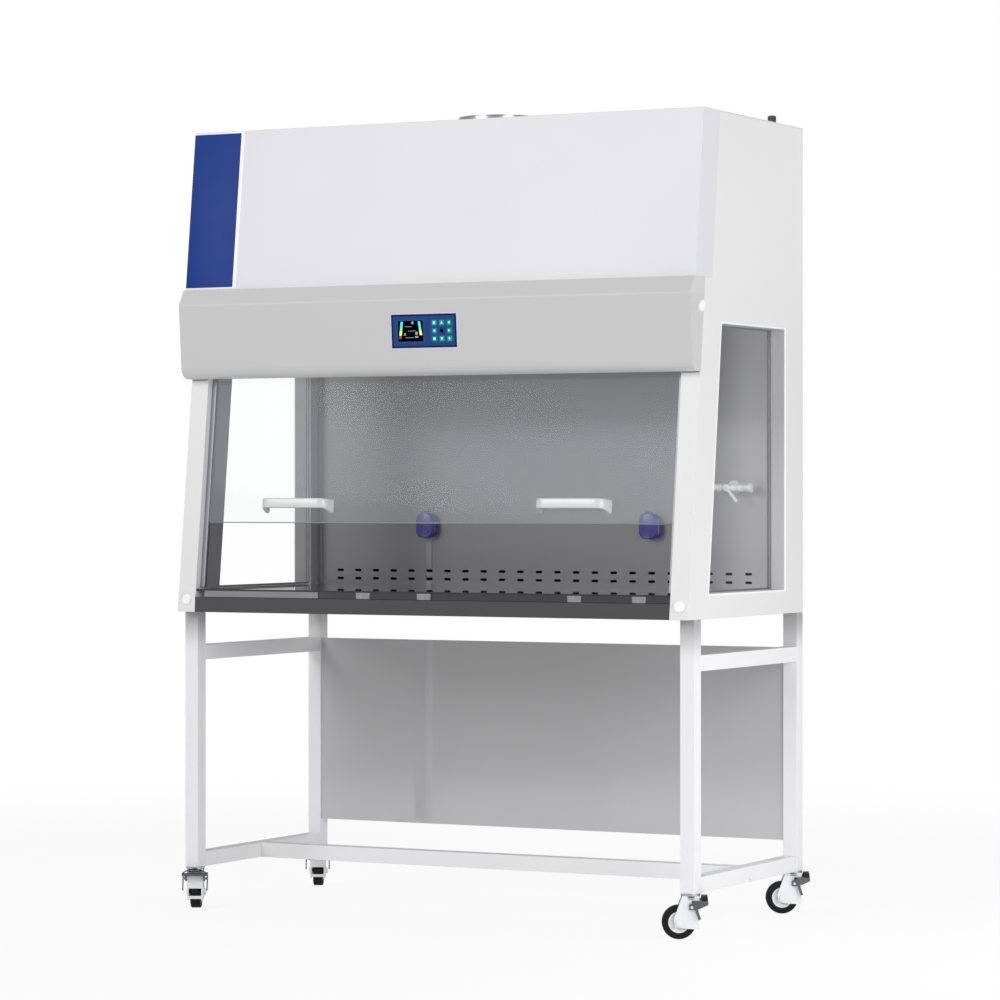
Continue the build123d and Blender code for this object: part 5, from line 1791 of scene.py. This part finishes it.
@dataclass(frozen=True)
class Casters(Assembly):
    """The four braked casters.

    Attributes:
        wheel_radius: Radius of a wheel's tread.
        tyre_half: Half the tyre's width.
        tyre_edge: Radius of the tyre's shoulders.
        hub_radius: Radius of the hub.
        hub_half: Half the hub's width.
        leg_half: Half the width of the leg over it.
        head_top: Height of the fork's top.
    """

    coats = {
        "caster_plates": Finishes.zinc,
        **{f"caster_fork_{name}": Finishes.fork for name in CASTERS},
        **{f"caster_wheel_{name}": Finishes.tyre for name in CASTERS},
        **{f"caster_pedal_{name}": Finishes.pedal for name in CASTERS},
    }
    rounded = {
        **{f"caster_fork_{name}": 0.8 * MM for name in CASTERS},
        **{f"caster_pedal_{name}": 0.7 * MM for name in CASTERS},
    }

    wheel_radius: float = 0.0375
    tyre_half: float = 0.0125
    tyre_edge: float = 0.004
    hub_radius: float = 0.024
    hub_half: float = 0.014
    leg_half: float = 0.0175
    head_top: float = 0.0957

    def add_pieces(self) -> None:
        """A tyre, a hub and a swivel race for each caster, in the caster's own direction."""
        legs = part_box("stand_legs")
        for name in CASTERS:
            low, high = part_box(f"caster_wheel_{name}")
            centre = (low + high) / 2.0
            side = 1 if "right" in name else -1
            y = legs[0].y + self.leg_half if "front" in name else legs[1].y - self.leg_half
            pivot = Vector((side * (legs[1].x - self.leg_half), y, centre.z))
            trail = (centre - pivot).normalized()
            place = Placed(centre, trail, (0, 0, 1))
            body = f"wheel_{name}"
            tyre = self.add(f"caster_tyre_{name}", [self.tyre(place)], Finishes.tyre, Paint.RUBBER, body)
            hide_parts(f"caster_wheel_{name}")
            self.add(f"caster_hub_{name}", self.hub(place), Finishes.hub, Paint.PLASTIC, body)
            upright = facing_up((pivot.x, pivot.y, 0.0))
            race = bead(upright, 0.0196, 0.0024, self.head_top - 0.0022, 48)
            washer = bead(upright, 0.0196, 0.0018, self.head_top - 0.0062, 48)
            self.add(f"caster_race_{name}", [race, washer], Finishes.race, Paint.ZINC, f"fork_{name}")
            self.add_yoke(name, Placed((pivot.x, pivot.y, 0.0), trail, (0, 0, 1)))

    def add_yoke(self, name: str, place: Placed) -> None:
        """A bowed hood over the pedal's toe, and a ribbed arm hanging on both sides of it.

        The hood's point (i, j) is (x_i, c - r (y_j / w)^2, y_j): a parabola of rise r over half-width w,
        swept along the toe, with its underside one sheet lower.
        """
        half, crown, rise, sheet = 0.0295, 0.0975, 0.0105, 0.0018
        y = np.linspace(-half, half, 25)
        arch = crown - rise * (y / half) ** 2
        section = np.vstack([np.stack([arch, y], 1), np.stack([arch - sheet, y], 1)[::-1]])
        stations = (-0.0370, -0.0365, -0.0245, -0.0240)
        drawn_in = (0.0004, 0.0, 0.0, 0.0004)
        rows = [
            place.carry(np.column_stack([np.full(len(section), x), section[:, 0] - less, section[:, 1]]))
            for x, less in zip(stations, drawn_in)
        ]
        self.add(f"pedal_hood_{name}", [folded(rows)], Finishes.race, Paint.ZINC, f"pedal_{name}")
        top, foot, width = np.array([-0.004, 0.0850]), np.array([-0.0190, 0.0450]), 0.0062
        along = (foot - top) / np.linalg.norm(foot - top)
        across = np.array([-along[1], along[0]]) * width / 2.0
        outline = np.array([top + across, top - across, foot - across, foot + across])
        bridge = np.array([[-0.0370, 0.0812], [-0.0010, 0.0812], [-0.0010, 0.0868], [-0.0370, 0.0868]])
        arms = []
        for side in SIDES:
            span = reaches(side, half - 0.0022, half)
            arms += [plate(outline, place, *span, 0.0005), plate(bridge, place, *span, 0.0005)]
            for share in np.linspace(0.12, 0.92, 7):
                spot = top + (foot - top) * share
                rib = reaches(side, half - 0.0004, half + 0.0008)
                arms.append(rod(place.moved(*spot), 0.0021, *rib, 0.0004, 10))
        self.add(f"pedal_arms_{name}", arms, Finishes.pedal, Paint.ZINC, f"pedal_{name}")

    def tyre(self, place: Placed) -> Part:
        """A tyre turned from its section, with rounded shoulders and two grooves.

        At width w the radius is R - e(1 - sqrt(1 - s^2)) - g exp(-((|w| - p) / q)^2), where s is how far
        w is into the shoulder of width e, and the grooves of depth g lie at p on both sides.
        """
        groove_depth, groove_place, groove_width = 0.0011, 0.0042, 0.0008
        width = np.linspace(-self.tyre_half, self.tyre_half, 41)
        shoulder = np.clip((np.abs(width) - self.tyre_half + self.tyre_edge) / self.tyre_edge, 0.0, 1.0)
        radius = self.wheel_radius - self.tyre_edge * (1.0 - np.sqrt(1.0 - shoulder**2))
        radius -= groove_depth * np.exp(-(((np.abs(width) - groove_place) / groove_width) ** 2))
        bore = self.hub_radius - 0.0005
        inner = np.array([[bore, self.tyre_half], [bore, -self.tyre_half]])
        return lathe(np.vstack([np.stack([radius, width], 1), inner]), place, 72, closed=True)

    def hub(self, place: Placed) -> list[Part]:
        """A hub with a dished face and a raised boss on both sides, and five studs that show its turning."""
        half = self.hub_half
        rim, dish, boss = self.hub_radius + 0.0004, 0.0185, 0.0085
        face = (
            (0.0, half),
            (boss - 0.0008, half),
            (boss, half - 0.0008),
            (boss + 0.0010, half - 0.0040),
            (dish, half - 0.0040),
            (dish + 0.0016, half - 0.0018),
            (rim - 0.0006, half - 0.0016),
            (rim, half - 0.0022),
        )
        other = tuple((radius, -height) for radius, height in reversed(face))
        parts = [lathe(np.array(face + other), place, 56)]
        for turn in np.arange(5) * 2.0 * math.pi / 5.0:
            for side in SIDES:
                spot = place.moved(0.0135 * math.cos(turn), 0.0135 * math.sin(turn))
                parts.append(rod(spot, 0.0024, *reaches(side, half - 0.0045, half - 0.0018), 0.0005, 14))
        return parts


# ------------------------------------------------------------------ floor, light and camera
@dataclass(frozen=True)
class Studio:
    """The pale floor, the soft light and the camera.

    Attributes:
        centre: Where the camera stands.
        turn: Its heading, degrees anticlockwise from looking along +Y.
        lens: Its focal length in millimetres on a 36 mm frame.
        rise: Its vertical shift as a share of the frame.
        floor_radius: Radius of the floor's disc.
        world_level: Brightness of the surroundings as a light.
    """

    centre: tuple[float, float, float] = (4.1026, -7.7736, 0.9801)
    turn: float = 27.71
    lens: float = 134.82
    rise: float = -0.0067
    floor_radius: float = 4.5
    world_level: float = 0.42

    def add_camera(self) -> None:
        """Place the camera and make it the scene's."""
        data = bpy.data.cameras.new("camera")
        data.lens = self.lens
        data.sensor_width = 36.0
        data.shift_y = self.rise
        data.clip_end = 60.0
        camera = bpy.data.objects.new("camera", data)
        camera.location = self.centre
        camera.rotation_euler = (math.radians(90.0), 0.0, math.radians(self.turn))
        bpy.context.scene.collection.objects.link(camera)
        bpy.context.scene.camera = camera

    def add_world(self) -> None:
        """White where it is seen, a plain level where it lights."""
        world = bpy.data.worlds.new("studio")
        bpy.context.scene.world = world
        world.use_nodes = True
        graph = Graph(world.node_tree)
        path = graph.node("ShaderNodeLightPath")
        seen = Wire(graph, path.outputs["Is Camera Ray"])
        seen = seen.most(Wire(graph, path.outputs["Is Transmission Ray"]))
        strength = self.world_level + seen * (1.0 - self.world_level)
        surface = graph.node("ShaderNodeBackground", None, Color=WHITE, Strength=strength)
        graph.node("ShaderNodeOutputWorld", None, Surface=surface.outputs[0])

    def add_floor(self) -> None:
        """A pale disc that fades out at its rim.

        Point (i, j) is (r_i cos t_j, r_i sin t_j, 0), with r_i from 0 to the radius.
        """
        radius = np.linspace(0.0, self.floor_radius, 5)[1:]
        turn = np.linspace(0.0, 2.0 * np.pi, 48, endpoint=False)
        ring = np.stack([radius[:, None] * np.cos(turn), radius[:, None] * np.sin(turn)], -1).reshape(-1, 2)
        points = np.column_stack([np.vstack([[0.0, 0.0], ring]), np.full(1 + len(ring), -0.0005)])
        hub = [[0, 1 + j, 1 + (j + 1) % 48] for j in range(48)]
        faces = hub + (grid_faces(len(radius), 48, False, True) + 1).tolist()
        floor = new_piece("floor", points, faces)
        made = bpy.data.materials.new("pale_floor")
        made.use_nodes = True
        graph = Graph(made.node_tree)
        away = graph.wire("ShaderNodeVectorMath", "Value", {"operation": "LENGTH"}, in0=graph.position())
        dust = graph.noise(7.0, 3.0)
        coat = graph.node(
            "ShaderNodeBsdfPrincipled",
            None,
            Base_Color=graph.mix(dust, (0.93, 0.93, 0.93), (0.96, 0.96, 0.96)),
            Roughness=0.6 + dust * 0.1,
        )
        white = graph.node("ShaderNodeEmission", None, Color=WHITE, Strength=1.0)
        path = graph.node("ShaderNodeLightPath")
        seen = Wire(graph, path.outputs["Is Camera Ray"])
        seen_share = 0.88
        lit = graph.node(
            "ShaderNodeMixShader", None, in0=seen * seen_share, in1=coat.outputs[0], in2=white.outputs[0]
        )
        clear = graph.node("ShaderNodeBsdfTransparent")
        rim = away.ramp(self.floor_radius * 0.45, self.floor_radius * 0.98)
        surface = graph.node("ShaderNodeMixShader", None, in0=rim, in1=lit.outputs[0], in2=clear.outputs[0])
        graph.node("ShaderNodeOutputMaterial", None, Surface=surface.outputs[0])
        floor.data.materials.append(made)
        floor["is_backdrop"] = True

    @staticmethod
    def add_lamp(name: str, place: Sequence[float], aim: Sequence[float], size: float, watts: float) -> None:
        """A soft square lamp.

        Args:
            name: Its name.
            place: Where it hangs.
            aim: What it looks at.
            size: Its side.
            watts: Its power.
        """
        data = bpy.data.lights.new(name, "AREA")
        data.shape = "SQUARE"
        data.size = size
        data.energy = watts
        lamp = bpy.data.objects.new(name, data)
        lamp.location = place
        lamp.rotation_euler = (Vector(aim) - Vector(place)).to_track_quat("-Z", "Y").to_euler()
        bpy.context.scene.collection.objects.link(lamp)

    def build(self) -> None:
        """Set up the whole studio."""
        bpy.context.scene.view_settings.view_transform = "Standard"
        self.add_camera()
        self.add_world()
        self.add_floor()
        self.add_lamp("key_light", (-2.5, -5.5, 3.6), (0.0, 0.0, 1.0), 3.0, 158.0)
        self.add_lamp("fill_light", (4.5, -3.0, 2.2), (0.0, 0.0, 1.0), 2.5, 79.0)
        self.add_lamp("side_light", (2.1, -0.4, 0.7), (0.6, 0.0, 0.6), 1.0, 8.0)
        self.add_lamp("back_light", (1.5, 6.0, 3.2), (0.0, 0.0, 1.0), 3.0, 90.0)


def corners() -> list[list[float]]:
    """The whole object's box as plain lists."""
    return [[float(value) for value in corner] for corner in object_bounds()]


def main() -> None:
    """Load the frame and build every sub-assembly."""
    logging.basicConfig(level=logging.INFO, format="%(name)s: %(message)s")
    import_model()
    layout = Layout()
    Studio().build()
    for kind in (Shell, Cover, ControlBox, Chamber, Services, Sash, Exhaust, Stand, Casters):
        kind(layout).build()


if __name__ == "__main__":
    main()
